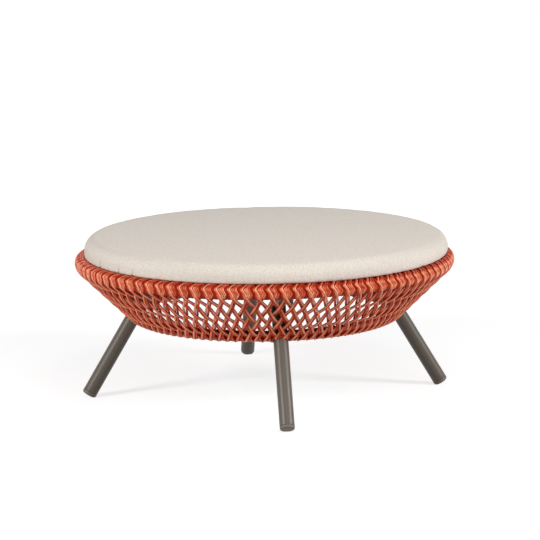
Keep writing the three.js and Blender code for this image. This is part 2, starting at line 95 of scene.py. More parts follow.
class Shader:
    """The node tree of one material or of the world."""

    def __init__(self, owner: bpy.types.ID) -> None:
        """Empties the owner's node tree, ready for new nodes.

        Args:
            owner: The material or the world that the nodes belong to.
        """
        owner.use_nodes = True
        self.tree = owner.node_tree
        self.tree.nodes.clear()

    def add(
        self,
        kind: str,
        inputs: dict | None = None,
        stops: tuple[tuple[float, str], ...] = (),
        **settings: object,
    ) -> bpy.types.Node:
        """Adds one node with its settings and links.

        Args:
            kind: The node's type, without its ShaderNode prefix.
            inputs: Each input's socket to link from, or its value, by the input's name or number.
            stops: Of a colour ramp, each colour's place and hex value, in order.
            settings: The node's own properties.

        Returns:
            The new node.
        """
        node = self.tree.nodes.new("ShaderNode" + kind)
        for key, value in settings.items():
            setattr(node, key, value)
        for key, value in (inputs or {}).items():
            if isinstance(value, bpy.types.NodeSocket):
                self.tree.links.new(value, node.inputs[key])
            else:
                node.inputs[key].default_value = value
        if stops:
            elements = node.color_ramp.elements
            while len(elements) < len(stops):
                elements.new(1.0)
            for element, (place, colour) in zip(elements, stops):
                element.position = place
                element.color = linear(colour)
        return node

    def grain(self) -> tuple[bpy.types.NodeSocket, ...]:
        """Reads the three coordinates that a mesh carries for its finish.

        Returns:
            The length along a strand, the place across it and its tone, or a canvas's warp, weft and fold.
        """
        stored = self.add("Attribute", attribute_name="grain")
        return tuple(self.add("SeparateXYZ", {0: stored.outputs["Vector"]}).outputs)

    def looked_at(self) -> bpy.types.NodeSocket:
        """Tells the rays of the camera, of gloss and of glass from those that only light other things.

        Returns:
            One where such a ray lands, else zero.
        """
        rays = self.add("LightPath").outputs
        seen = self.add("Math", {0: rays["Is Camera Ray"], 1: rays["Is Glossy Ray"]}, operation="ADD")
        either = {0: seen.outputs[0], 1: rays["Is Transmission Ray"]}
        return self.add("Math", either, operation="ADD", use_clamp=True).outputs[0]


@dataclass(frozen=True)
class Finish:
    """What every finish shares: a name, and a material made once and used by all its pieces."""

    name: str

    def shade(self, shader: Shader) -> bpy.types.NodeSocket:
        """Builds the surface; each finish has its own.

        Args:
            shader: The tree that takes the nodes.

        Returns:
            The surface's socket.
        """
        raise NotImplementedError

    def material(self) -> bpy.types.Material:
        """Makes the material, or gives back the one already made.

        Returns:
            The material, under the finish's name.
        """
        made = bpy.data.materials.get(self.name)
        if made is None:
            made = bpy.data.materials.new(self.name)
            shader = Shader(made)
            shader.add("OutputMaterial", {"Surface": self.shade(shader)})
        return made


@dataclass(frozen=True)
class ExtrudedFibre(Finish):
    """Polyethylene weaving fibre, dyed through and extruded as a rounded cord.

    To the eye: satin terracotta cords whose tone drifts from one to the next, with fine lines drawn along
    them, a soft highlight on each rounded edge, and painted shade that darkens each cord's two sides.
    """

    name: str = "wall_fibre"
    deep: str = "#c23410"
    middle: str = "#e85a30"
    light: str = "#ffa884"
    # painted shade: the colour that each cord darkens towards at its two sides
    edge: str = "#b03012"
    roughness: float = 0.34
    gloss: float = 0.08  # the skin is waxy, so it mirrors less than clear plastic
    drift: float = 45 * MM  # over which the tone changes along a cord
    own_share: float = 0.55  # of the cord's own tone, and the drift has the rest
    lines_across: float = 7.0  # extrusion lines on each half of a cord
    lines_along: float = 60.0  # times in a metre that a line fades into the next
    line_depth: float = 0.25 * MM

    def shade(self, shader: Shader) -> bpy.types.NodeSocket:
        """Builds the surface from the cord's own coordinates.

        Args:
            shader: The tree that takes the nodes.

        Returns:
            The surface's socket.
        """
        along, across, tone = shader.grain()
        place = shader.add("CombineXYZ", {"X": along, "Y": tone, "Z": 0.0})
        slow = shader.add("TexNoise", {"Vector": place.outputs[0], "Scale": 1 / self.drift, "Detail": 2.0})
        own = shader.add("Math", {0: tone, 1: self.own_share}, operation="MULTIPLY")
        drifted = {0: slow.outputs["Fac"], 1: 1 - self.own_share, 2: own.outputs[0]}
        mixed = shader.add("Math", drifted, operation="MULTIPLY_ADD")
        stops = ((0.2, self.deep), (0.5, self.middle), (0.85, self.light))
        colour = shader.add("ValToRGB", {"Fac": mixed.outputs[0]}, stops).outputs["Color"]
        # painted shade: towards its sides the cord takes up to three quarters of the edge colour
        edge = shader.add("Math", {0: across}, operation="ABSOLUTE")
        outer = {"Value": edge.outputs[0], "From Min": 0.6, "From Max": 1.0, "To Min": 0.0, "To Max": 0.75}
        rise = shader.add("MapRange", outer)
        sides = {"Factor": rise.outputs[0], 6: colour, 7: linear(self.edge)}
        painted_edge_shade = shader.add("Mix", sides, data_type="RGBA")
        slide = shader.add("Math", {0: along, 1: self.lines_along}, operation="MULTIPLY")
        count = shader.add("Math", {0: across, 1: self.lines_across}, operation="MULTIPLY")
        drawn = shader.add("CombineXYZ", {"X": slide.outputs[0], "Y": count.outputs[0], "Z": tone})
        lines = shader.add("TexNoise", {"Vector": drawn.outputs[0], "Scale": 1.0, "Detail": 3.0})
        height = lines.outputs["Fac"]
        bump = shader.add("Bump", {"Height": height, "Strength": 0.35, "Distance": self.line_depth})
        limits = {"To Min": self.roughness - 0.08, "To Max": self.roughness + 0.1}
        dull = shader.add("MapRange", {"Value": height, **limits})
        surface = shader.add(
            "BsdfPrincipled",
            {
                "Base Color": painted_edge_shade.outputs[2],
                "Roughness": dull.outputs[0],
                "IOR": 1.52,
                "Specular IOR Level": self.gloss,
                "Normal": bump.outputs[0],
            },
        )
        return surface.outputs[0]


@dataclass(frozen=True)
class PowderCoat(Finish):
    """Aluminium with a baked polyester powder coat, satin and grey-brown.

    To the eye: an even warm grey-brown with soft window-like highlights, a fine orange-peel surface and
    very small darker flecks.
    """

    name: str = "powder_coat"
    colour: str = "#574e43"
    fleck: str = "#4a4238"
    sheen: str = "#62594d"
    roughness: float = 0.42
    gloss: float = 0.45
    peel: float = 1.4 * MM  # real orange peel is about half as wide, too fine to show
    fleck_size: float = 0.9 * MM  # coarser than the pigment's real grain, for the same reason
    patches: float = 14.0  # of slightly other gloss in a metre

    def shade(self, shader: Shader) -> bpy.types.NodeSocket:
        """Builds the surface from the piece's own place.

        Args:
            shader: The tree that takes the nodes.

        Returns:
            The surface's socket.
        """
        place = shader.add("TexCoord").outputs["Object"]
        flecks = shader.add("TexNoise", {"Vector": place, "Scale": 1 / self.fleck_size, "Detail": 2.0})
        stops = ((0.3, self.fleck), (0.48, self.colour), (0.62, self.colour), (0.8, self.sheen))
        colour = shader.add("ValToRGB", {"Fac": flecks.outputs["Fac"]}, stops).outputs["Color"]
        peel = shader.add("TexNoise", {"Vector": place, "Scale": 1 / self.peel, "Detail": 1.0})
        bump = shader.add("Bump", {"Height": peel.outputs["Fac"], "Strength": 0.2, "Distance": 0.1 * MM})
        patch = shader.add("TexNoise", {"Vector": place, "Scale": self.patches, "Detail": 2.0})
        limits = {"To Min": self.roughness - 0.06, "To Max": self.roughness + 0.06}
        dull = shader.add("MapRange", {"Value": patch.outputs["Fac"], **limits})
        surface = shader.add(
            "BsdfPrincipled",
            {
                "Base Color": colour,
                "Roughness": dull.outputs[0],
                "IOR": 1.5,
                "Specular IOR Level": self.gloss,
                "Normal": bump.outputs[0],
            },
        )
        return surface.outputs[0]


@dataclass(frozen=True)
class DrawnAluminium(Finish):
    """Bare drawn aluminium tube under the binding.

    To the eye: dull silver with faint draw lines, seen only in slits between strands.
    """

    name: str = "drawn_aluminium"
    colour: str = "#a7a8a8"
    shadow: str = "#8d8f90"
    line: float = 0.8 * MM

    def shade(self, shader: Shader) -> bpy.types.NodeSocket:
        """Builds the surface from the piece's own place.

        Args:
            shader: The tree that takes the nodes.

        Returns:
            The surface's socket.
        """
        place = shader.add("TexCoord").outputs["Object"]
        fine = {"Vector": place, "Scale": 1 / self.line, "Detail": 3.0}
        lines = shader.add("TexNoise", fine).outputs["Fac"]
        stops = ((0.3, self.shadow), (0.7, self.colour))
        colour = shader.add("ValToRGB", {"Fac": lines}, stops).outputs["Color"]
        bump = shader.add("Bump", {"Height": lines, "Strength": 0.15, "Distance": 0.1 * MM})
        metal = {"Base Color": colour, "Metallic": 1.0, "Roughness": 0.42, "Normal": bump.outputs[0]}
        return shader.add("BsdfPrincipled", metal).outputs[0]


@dataclass(frozen=True)
class MouldedNylon(Finish):
    """Glass-filled nylon, injection moulded, in the legs' colour.

    To the eye: the same grey-brown as the tube but duller, with a fine spark-eroded grain.
    """

    name: str = "moulded_nylon"
    colour: str = "#6a6258"
    shadow: str = "#57504a"
    grain_size: float = 1.1 * MM  # the mould's real grain is about 0.3 mm

    def shade(self, shader: Shader) -> bpy.types.NodeSocket:
        """Builds the surface from the piece's own place.

        Args:
            shader: The tree that takes the nodes.

        Returns:
            The surface's socket.
        """
        place = shader.add("TexCoord").outputs["Object"]
        grain = shader.add("TexNoise", {"Vector": place, "Scale": 1 / self.grain_size, "Detail": 2.0})
        stops = ((0.3, self.shadow), (0.65, self.colour))
        colour = shader.add("ValToRGB", {"Fac": grain.outputs["Fac"]}, stops).outputs["Color"]
        bump = shader.add("Bump", {"Height": grain.outputs["Fac"], "Strength": 0.3, "Distance": 0.1 * MM})
        plastic = {"Base Color": colour, "Roughness": 0.55, "IOR": 1.53, "Normal": bump.outputs[0]}
        return shader.add("BsdfPrincipled", plastic).outputs[0]


@dataclass(frozen=True)
class PolyesterWebbing(Finish):
    """Solution-dyed polyester belt webbing, woven with cross ribs and a firm selvedge.

    To the eye: charcoal and matt, ribbed across, with fine threads along it.
    """

    name: str = "polyester_webbing"
    dark: str = "#2b2927"
    light: str = "#4a4642"
    rib: float = 1.8 * MM
    threads: float = 70.0  # radians of thread pattern over half a belt's width

    def shade(self, shader: Shader) -> bpy.types.NodeSocket:
        """Builds the surface from the belt's own coordinates.

        Args:
            shader: The tree that takes the nodes.

        Returns:
            The surface's socket.
        """
        along, across, _ = shader.grain()
        turns = shader.add("Math", {0: along, 1: math.tau / self.rib}, operation="MULTIPLY")
        wave = shader.add("Math", {0: turns.outputs[0]}, operation="SINE")
        threads = shader.add("Math", {0: across, 1: self.threads}, operation="MULTIPLY")
        cross = shader.add("Math", {0: threads.outputs[0]}, operation="SINE")
        woven = shader.add("Math", {0: wave.outputs[0], 1: 0.3, 2: 0.5}, operation="MULTIPLY_ADD")
        crossed = {0: cross.outputs[0], 1: 0.2, 2: woven.outputs[0]}
        both = shader.add("Math", crossed, operation="MULTIPLY_ADD").outputs[0]
        stops = ((0.1, self.dark), (0.9, self.light))
        colour = shader.add("ValToRGB", {"Fac": both}, stops).outputs["Color"]
        bump = shader.add("Bump", {"Height": both, "Strength": 0.6, "Distance": 0.3 * MM})
        surface = shader.add(
            "BsdfPrincipled",
            {
                "Base Color": colour,
                "Roughness": 0.85,
                "IOR": 1.5,
                "Sheen Weight": 0.15,
                "Normal": bump.outputs[0],
            },
        )
        return surface.outputs[0]


@dataclass(frozen=True)
class MelangeCanvas(Finish):
    """Solution-dyed acrylic outdoor canvas, plain woven from flecked yarn.

    To the eye: pale sand with short darker and lighter slubs along both threads, a fine even weave, and a
    painted shade in the depth of its folds.
    """

    name: str = "melange_canvas"
    light: str = "#e5dbd0"
    middle: str = "#ddd3c8"
    dark: str = "#d0c6ba"
    crease: str = "#8f857a"
    crease_share: float = 0.8  # of the painted shade's colour in the deepest fold
    thread: float = 1.6 * MM  # the real threads are about 0.6 mm apart, too fine to show
    slub: float = 5 * MM  # along a thread
    slub_width: float = 2.2 * MM
    second_pattern: float = 7.3  # keeps the weft's slubs apart from the warp's

    def shade(self, shader: Shader) -> bpy.types.NodeSocket:
        """Builds the surface from the cloth's own threads.

        Args:
            shader: The tree that takes the nodes.

        Returns:
            The surface's socket.
        """
        warp, weft, folded = shader.grain()
        slubs = []
        for first, second, offset in ((warp, weft, 0.0), (weft, warp, self.second_pattern)):
            long = shader.add("Math", {0: first, 1: 1 / self.slub}, operation="MULTIPLY")
            thin = shader.add("Math", {0: second, 1: 1 / self.slub_width}, operation="MULTIPLY")
            place = shader.add("CombineXYZ", {"X": long.outputs[0], "Y": thin.outputs[0], "Z": offset})
            slubs.append(shader.add("TexNoise", {"Vector": place.outputs[0], "Scale": 1.0, "Detail": 2.0}))
        both = shader.add("Math", {0: slubs[0].outputs["Fac"], 1: slubs[1].outputs["Fac"]}, operation="ADD")
        half = shader.add("Math", {0: both.outputs[0], 1: 0.5}, operation="MULTIPLY")
        stops = ((0.36, self.dark), (0.5, self.middle), (0.64, self.light))
        flat = shader.add("ValToRGB", {"Fac": half.outputs[0]}, stops).outputs["Color"]
        # painted shade: the cloth darkens towards the crease colour in its deepest folds
        share = shader.add("Math", {0: folded, 1: self.crease_share}, operation="MULTIPLY")
        creased = {"Factor": share.outputs[0], 6: flat, 7: linear(self.crease)}
        colour = shader.add("Mix", creased, data_type="RGBA").outputs[2]
        waves = []
        for thread in (warp, weft):
            turns = shader.add("Math", {0: thread, 1: math.tau / self.thread}, operation="MULTIPLY")
            waves.append(shader.add("Math", {0: turns.outputs[0]}, operation="SINE"))
        weave = shader.add("Math", {0: waves[0].outputs[0], 1: waves[1].outputs[0]}, operation="MULTIPLY")
        rough = {0: weave.outputs[0], 1: 0.35, 2: half.outputs[0]}
        height = shader.add("Math", rough, operation="MULTIPLY_ADD")
        bump = shader.add("Bump", {"Height": height.outputs[0], "Strength": 0.35, "Distance": 0.3 * MM})
        surface = shader.add(
            "BsdfPrincipled",
            {
                "Base Color": colour,
                "Roughness": 0.9,
                "IOR": 1.49,
                "Sheen Weight": 0.1,
                "Sheen Roughness": 0.6,
                "Normal": bump.outputs[0],
            },
        )
        return surface.outputs[0]


@dataclass(frozen=True)
class SpacerMesh(Finish):
    """Warp-knitted polyester spacer mesh, which drains the cushion.

    To the eye: sand-coloured with rows of small round holes.
    """

    name: str = "spacer_mesh"
    cloth: str = "#cfc6b9"
    # painted shade: the holes are drawn dark for the shade inside them
    hole: str = "#6f675d"
    cell: float = 3.2 * MM

    def shade(self, shader: Shader) -> bpy.types.NodeSocket:
        """Builds the surface from the piece's own place.

        Args:
            shader: The tree that takes the nodes.

        Returns:
            The surface's socket.
        """
        place = shader.add("TexCoord").outputs["Object"]
        cells = shader.add("TexVoronoi", {"Vector": place, "Scale": 1 / self.cell, "Randomness": 0.35})
        far = cells.outputs["Distance"]
        stops = ((0.16, self.hole), (0.3, self.cloth), (1.0, self.cloth))
        colour = shader.add("ValToRGB", {"Fac": far}, stops).outputs["Color"]
        bump = shader.add("Bump", {"Height": far, "Strength": 0.8, "Distance": 0.6 * MM})
        cloth = {"Base Color": colour, "Roughness": 0.9, "IOR": 1.5, "Normal": bump.outputs[0]}
        return shader.add("BsdfPrincipled", cloth).outputs[0]


@dataclass(frozen=True)
class OpenFoam(Finish):
    """Reticulated polyurethane foam, cut from a block.

    To the eye: cream, with open cells a few millimetres wide.
    """

    name: str = "open_foam"
    light: str = "#e8e4da"
    cell_shadow: str = "#b9b2a4"
    cell: float = 2.4 * MM

    def shade(self, shader: Shader) -> bpy.types.NodeSocket:
        """Builds the surface from the piece's own place.

        Args:
            shader: The tree that takes the nodes.

        Returns:
            The surface's socket.
        """
        place = shader.add("TexCoord").outputs["Object"]
        far = shader.add("TexVoronoi", {"Vector": place, "Scale": 1 / self.cell}).outputs["Distance"]
        stops = ((0.1, self.cell_shadow), (0.45, self.light))
        colour = shader.add("ValToRGB", {"Fac": far}, stops).outputs["Color"]
        bump = shader.add("Bump", {"Height": far, "Strength": 0.9, "Distance": 0.8 * MM})
        foam = {"Base Color": colour, "Roughness": 0.95, "IOR": 1.5, "Normal": bump.outputs[0]}
        return shader.add("BsdfPrincipled", foam).outputs[0]


@dataclass(frozen=True)
class MouldedAcetal(Finish):
    """Acetal zip teeth and slider, injection moulded.

    To the eye: warm grey, slightly waxy, with a faint moulded mottle.
    """

    name: str = "moulded_acetal"
    colour: str = "#bdb6aa"
    mottle: str = "#a79f92"
    mottles: float = 900.0  # in a metre

    def shade(self, shader: Shader) -> bpy.types.NodeSocket:
        """Builds the surface from the piece's own place.

        Args:
            shader: The tree that takes the nodes.

        Returns:
            The surface's socket.
        """
        place = shader.add("TexCoord").outputs["Object"]
        wide = {"Vector": place, "Scale": self.mottles, "Detail": 2.0}
        cloud = shader.add("TexNoise", wide).outputs["Fac"]
        stops = ((0.3, self.mottle), (0.6, self.colour))
        colour = shader.add("ValToRGB", {"Fac": cloud}, stops).outputs["Color"]
        bump = shader.add("Bump", {"Height": cloud, "Strength": 0.1, "Distance": 0.1 * MM})
        plastic = {"Base Color": colour, "Roughness": 0.35, "IOR": 1.48, "Normal": bump.outputs[0]}
        return shader.add("BsdfPrincipled", plastic).outputs[0]


class Shape:
    """A mesh in the making, from grids of points that carry their finish's own coordinates."""

    def __init__(self) -> None:
        """Starts with nothing."""
        self._points: list[np.ndarray] = []
        self._grain: list[np.ndarray] = []
        self._faces: list[list[int]] = []
        self._count = 0

    def grid(
        self,
        points: np.ndarray,
        grain: np.ndarray | None = None,
        ring: bool = True,
        loop: bool = False,
        caps: bool = True,
    ) -> None:
        """Adds a grid of points as quads.

        Args:
            points: Rows of section points, rows by columns by three.
            grain: The finish's coordinates of each point, in the same layout.
            ring: Whether each row closes on itself.
            loop: Whether the last row joins the first.
            caps: Whether the first and last rows are closed by a face.
        """
        rows, columns = points.shape[:2]
        index = np.arange(rows * columns).reshape(rows, columns) + self._count
        across = np.hstack([index, index[:, :1]]) if ring else index
        full = np.vstack([across, across[:1]]) if loop else across
        quads = np.stack([full[:-1, :-1], full[:-1, 1:], full[1:, 1:], full[1:, :-1]], axis=-1)
        self._faces += quads.reshape(-1, 4).tolist()
        if caps and ring and not loop:
            self._faces += [index[0][::-1].tolist(), index[-1].tolist()]
        self._points.append(points.reshape(-1, 3))
        self._grain.append(np.zeros((rows * columns, 3)) if grain is None else grain.reshape(-1, 3))
        self._count += rows * columns

    def fan(self, outline: np.ndarray, depth: Vector) -> None:
        """Adds a flat plate: an outline and its copy moved by a depth, closed all round.

        Args:
            outline: The outline's points, in order.
            depth: How far and which way the second face lies.
        """
        self.grid(np.stack([outline, outline + np.array(depth)]))

    def turn(self, angle: float) -> None:
        """Turns everything added so far about the Z axis, by an angle in radians."""
        self._points = [about_z(points, angle) for points in self._points]

    def build(self, name: str, sharp_degrees: float = 40.0) -> bpy.types.Object:
        """Makes the mesh and its object.

        Args:
            name: The piece's name.
            sharp_degrees: Edges that turn by more than this stay crisp.

        Returns:
            The object, linked to the scene.
        """
        mesh = bpy.data.meshes.new(name)
        mesh.from_pydata(np.vstack(self._points).tolist(), [], self._faces)
        work = bmesh.new()
        work.from_mesh(mesh)
        bmesh.ops.recalc_face_normals(work, faces=work.faces)
        work.to_mesh(mesh)
        work.free()
        layer = mesh.attributes.new("grain", "FLOAT_VECTOR", "POINT")
        layer.data.foreach_set("vector", np.vstack(self._grain).astype(np.float32).ravel())
        mesh.shade_smooth()
        mesh.set_sharp_from_angle(angle=math.radians(sharp_degrees))
        piece = bpy.data.objects.new(name, mesh)
        bpy.context.scene.collection.objects.link(piece)
        return piece


def flat_oval(count: int, squareness: float = 2.8) -> np.ndarray:
    """Gives the section of a flat strand with rounded edges, one unit each way from its middle.

    Args:
        count: How many points go round it.
        squareness: Two is an ellipse, and more is boxier.

    Returns:
        The section's points, count by two.
    """
    turn = (np.arange(count) + 0.5) * math.tau / count
    unit = np.stack([np.cos(turn), np.sin(turn)], axis=-1)
    return np.sign(unit) * np.abs(unit) ** (2 / squareness)


def sweep(
    shape: Shape,
    path: np.ndarray,
    outwards: np.ndarray,
    half: np.ndarray,
    section: np.ndarray,
    tone: np.ndarray | float = 0.5,
    loop: bool = False,
    shift: np.ndarray | float = 0.0,
) -> None:
    """Sweeps a section along a path that lies on a surface.

    Args:
        shape: The mesh that takes the strip.
        path: The path's points, rows by three.
        outwards: The surface's normal at each point.
        half: Half the width and half the thickness, for all rows or each.
        section: The unit section, across and out.
        tone: The strip's own shade, from 0 to 1, for all rows or each.
        loop: Whether the path closes.
        shift: How far the strip lies to the path's side, for all rows or each.
    """
    if loop:
        ahead, behind = np.roll(path, -1, axis=0), np.roll(path, 1, axis=0)
        forward = ahead - behind
    else:
        forward = np.gradient(path, axis=0)
    forward = forward / np.linalg.norm(forward, axis=1, keepdims=True)
    side = np.cross(outwards, forward)
    side = side / np.linalg.norm(side, axis=1, keepdims=True)
    up = np.cross(forward, side)
    half = np.broadcast_to(half, (len(path), 2))
    path = path + side * np.broadcast_to(shift, len(path))[:, None]
    points = (
        path[:, None]
        + side[:, None] * (section[None, :, :1] * half[:, None, :1])
        + up[:, None] * (section[None, :, 1:] * half[:, None, 1:])
    )
    step = np.linalg.norm(np.diff(path, axis=0), axis=1)
    along = np.concatenate([[0.0], np.cumsum(step)])
    grain = np.empty(points.shape)
    tone = np.broadcast_to(tone, len(path))[:, None]
    grain[..., 0] = along[:, None] + tone[0] * 3.0
    grain[..., 1] = section[None, :, 0]
    grain[..., 2] = tone
    shape.grid(points, grain, loop=loop)


def section_way(phi: np.ndarray) -> np.ndarray:
    """Gives directions in the plane of radius and height.

    Args:
        phi: The section angles, in radians, with zero outwards.

    Returns:
        The directions, with the radius and height parts last.
    """
    return np.stack([np.cos(phi), np.sin(phi)], axis=-1)


def round_section(count: int) -> np.ndarray:
    """Gives a unit circle's points.

    Args:
        count: How many points go round it.

    Returns:
        The points, count by two.
    """
    return section_way(np.arange(count) * math.tau / count)


def rising(values: np.ndarray, start: float, length: float) -> np.ndarray:
    """Rises evenly from zero to one and stays there.

    Args:
        values: Where the share is wanted.
        start: Where it leaves zero.
        length: How far on it reaches one, or less than zero where it rises backwards.

    Returns:
        The share at each value.
    """
    return np.clip((values - start) / length, 0.0, 1.0)


def about_z(points: np.ndarray, turn: float) -> np.ndarray:
    """Turns points about the Z axis.

    Args:
        points: The points, any rows by three.
        turn: The angle, in radians.

    Returns:
        The turned points.
    """
    c, s = math.cos(turn), math.sin(turn)
    return points @ np.array([[c, s, 0.0], [-s, c, 0.0], [0.0, 0.0, 1.0]])


def revolve(flat: np.ndarray, turn: np.ndarray) -> np.ndarray:
    """Places points of the plane of radius and height round the Z axis.

    Args:
        flat: Radius and height of each point, or both parts of a direction.
        turn: The angle of each round the axis, in radians.

    Returns:
        The points, with their three coordinates last.
    """
    radius, height, turn = np.broadcast_arrays(flat[..., 0], flat[..., 1], turn)
    return np.stack([radius * np.cos(turn), radius * np.sin(turn), height], axis=-1)


def lathe(shape: Shape, profile: np.ndarray, steps: int, start: float = 0.0, end: float = math.tau) -> None:
    """Turns a closed profile about the Z axis.

    Args:
        shape: The mesh that takes the surface.
        profile: Radius and height of each profile point.
        steps: How many steps the turn takes.
        start: Where the turn starts, in radians.
        end: Where it ends; a whole turn closes on itself.
    """
    whole = abs(end - start - math.tau) < 1e-9
    turns = np.linspace(start, end, steps, endpoint=not whole)
    points = revolve(profile[None], turns[:, None])
    grain = np.empty(points.shape)
    grain[..., 0] = turns[:, None] * profile[None, :, 0]
    grain[..., 1] = profile[None, :, 1]
    grain[..., 2] = 0.5
    shape.grid(points, grain, ring=True, loop=whole, caps=not whole)


def coordinates(piece: bpy.types.Object) -> np.ndarray:
    """Reads a mesh's points.

    Args:
        piece: The mesh's object.

    Returns:
        The points, rows by three.
    """
    flat = np.empty(len(piece.data.vertices) * 3)
    piece.data.vertices.foreach_get("co", flat)
    return flat.reshape(-1, 3)


def dress(
    piece: bpy.types.Object, finish: Finish, body: str, slot: str, *replaced: str
) -> bpy.types.Object:
    """Gives a piece its finish and its body, and hides the nodes that it stands for.

    Args:
        piece: The piece, in place.
        finish: What it is made of.
        body: The body that it rides on.
        slot: The record's material slot; not used.
        replaced: The nodes that it stands for.

    Returns:
        The same piece.
    """
    piece.data.materials.clear()
    piece.data.materials.append(finish.material())
    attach(piece, body)
    if replaced:
        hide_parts(*replaced)
    log.info("%s: %d faces on %s", piece.name, len(piece.data.polygons), body)
    return piece


# painted light and shade: the wall's and the binding's fibre are one material, coloured apart for how each
# is lit
FIBRE = ExtrudedFibre()
BINDING_FIBRE = ExtrudedFibre(
    "binding_fibre", "#a42c10", "#e06a46", "#ffb08c", "#9a2810", roughness=0.24, gloss=0.1
)
# painted shade: a darker copy of the fibre, for the under-winding in the rim's recess
SHADED_FIBRE = ExtrudedFibre(
    "shaded_under_fibre", "#861e08", "#a62a12", "#bc3e20", "#861e08", roughness=0.5, gloss=0.08
)
# painted shade: a darker copy of the fibre, for the winding on the hoop under the wall
SHADED_HOOP_FIBRE = ExtrudedFibre(
    "shaded_hoop_fibre", "#a01e06", "#c22c0c", "#d43c18", "#a01e06", roughness=0.5, gloss=0.06
)
COAT = PowderCoat()
TUBE = DrawnAluminium()
NYLON = MouldedNylon()
WEBBING = PolyesterWebbing()
CANVAS = MelangeCanvas()
MESH_CLOTH = SpacerMesh()
FOAM = OpenFoam()
ACETAL = MouldedAcetal()


class Side(Enum):
    """The four legs, by the angle of each from +X."""

    RIGHT = 0
    BACK = 1
    LEFT = 2
    FRONT = 3

    @property
    def turn(self) -> float:
        """The leg's angle, in radians."""
        return self.value * math.pi / 2

    @property
    def word(self) -> str:
        """The leg's name in the frame."""
        return self.name.lower()


@dataclass
class Rings:
    """The top ring and the lower hoop, as the frame gives them."""

    rim_radius: float
    rim_height: float
    rim_tube: float
    rim_bound: float
    hoop_radius: float
    hoop_height: float
    hoop_tube: float = 6.5 * MM

    @classmethod
    def from_frame(cls, nodes: dict) -> "Rings":
        """Reads the rings' sizes off the frame.

        Args:
            nodes: The frame's nodes by name.

        Returns:
            The rings.
        """
        low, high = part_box("rim_tube")
        tube = (high.z - low.z) / 2
        bound_low, bound_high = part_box("rim_wrap")
        wrap_low, wrap_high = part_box("lower_hoop_wrap_1")
        wrap = (wrap_high.z - wrap_low.z) / 2
        reach = max(math.hypot(v.co.x, v.co.y) for v in nodes["lower_hoop_wrap_1"].data.vertices)
        return cls(
            rim_radius=high.x - tube,
            rim_height=(high.z + low.z) / 2,
            rim_tube=tube,
            rim_bound=(bound_high.z - bound_low.z) / 2,
            hoop_radius=reach - wrap,
            hoop_height=(wrap_high.z + wrap_low.z) / 2,
        )


@dataclass
class LegLine:
    """A splayed leg's centre line and the strands' way round it."""

    splay: float = math.radians(30.7)
    foot_radius: float = 400 * MM
    radius: float = 16 * MM
    end_room: float = 9 * MM  # left for the collar under the strands that end on a leg
    own_side: float = 100 * MM  # from the bowl's axis; what is nearer belongs to the other side
    face_share: float = 0.86  # of the leg's half width; a strand further aside runs on past the leg
    tail: tuple = ((0.8, 1.5), (1.0, 5.0), (1.0, 9.0))  # mm down and in from where a strand ends

    def frame(self, side: Side) -> tuple[np.ndarray, np.ndarray]:
        """Gives the foot point on the floor and the direction up the leg.

        Args:
            side: Which leg.

        Returns:
            The foot and the direction.
        """
        foot = np.array([self.foot_radius, 0.0, 0.0])
        up = np.array([-math.sin(self.splay), 0.0, math.cos(self.splay)])
        return about_z(foot, side.turn), about_z(up, side.turn)

    def part(
        self, points: np.ndarray, outwards: np.ndarray, gap: float
    ) -> tuple[np.ndarray, np.ndarray]:
        """Leads a strand round the legs, or over the face of the leg that it runs into, where it ends.

        Args:
            points: The strand's middle line, from the rim down, rows by three.
            outwards: The wall's normal at each point.
            gap: How far from a leg's face the line stays.

        Returns:
            The strand's line and its normals, shorter where it ends on a leg.
        """
        reach = self.radius + gap
        for side in Side:
            foot, up = self.frame(side)
            radial = about_z(np.array([1.0, 0.0, 0.0]), side.turn)
            across = about_z(np.array([0.0, 1.0, 0.0]), side.turn)
            face = np.cross(across, up)
            arm = points - foot
            height, aside, out = arm @ up, arm @ across, arm @ face
            skin = np.sqrt(np.maximum(reach**2 - aside**2, 0.0))
            within = (np.abs(aside) < reach) & (out < skin) & (out > -reach)
            inside = np.nonzero(within & (points @ radial > self.own_side))[0]
            if len(inside) == 0:
                continue
            first, lowest = inside[0], int(np.argmin(height))
            if abs(aside[lowest]) < self.face_share * reach:
                lowest = int(np.argmax(height < height[lowest] + self.end_room))
            lowest = min(max(lowest, first + 1), len(points) - 1)
            points, outwards = points.copy(), outwards.copy()
            if abs(aside[lowest]) < self.face_share * reach:
                on = np.arange(first, lowest + 1)
                on = on[np.abs(aside[on]) < reach]
                points[on] += face * (skin[on] - out[on])[:, None]
                normal = face * skin[on][:, None] + across * aside[on][:, None]
                outwards[on] = normal / np.linalg.norm(normal, axis=1, keepdims=True)
                return self._ended(points[: lowest + 1], outwards[: lowest + 1], up)
            far = np.maximum(np.hypot(aside, out), 1e-6)
            near = inside[far[inside] < reach]
            push = across * aside[near][:, None] + face * out[near][:, None]
            points[near] += push * (reach / far[near] - 1)[:, None]
        return points, outwards

    def _ended(
        self, points: np.ndarray, outwards: np.ndarray, up: np.ndarray
    ) -> tuple[np.ndarray, np.ndarray]:
        """Turns a strand's end down into the leg's collar.

        Args:
            points: The strand's middle line, down to its end.
            outwards: The normal at each point.
            up: The direction up the leg.

        Returns:
            The longer line and its normals.
        """
        end, way = points[-1], outwards[-1]
        sunk = np.array([end - up * run * MM - way * sink * MM for run, sink in self.tail])
        return np.vstack([points, sunk]), np.vstack([outwards, np.tile(way, (len(sunk), 1))])


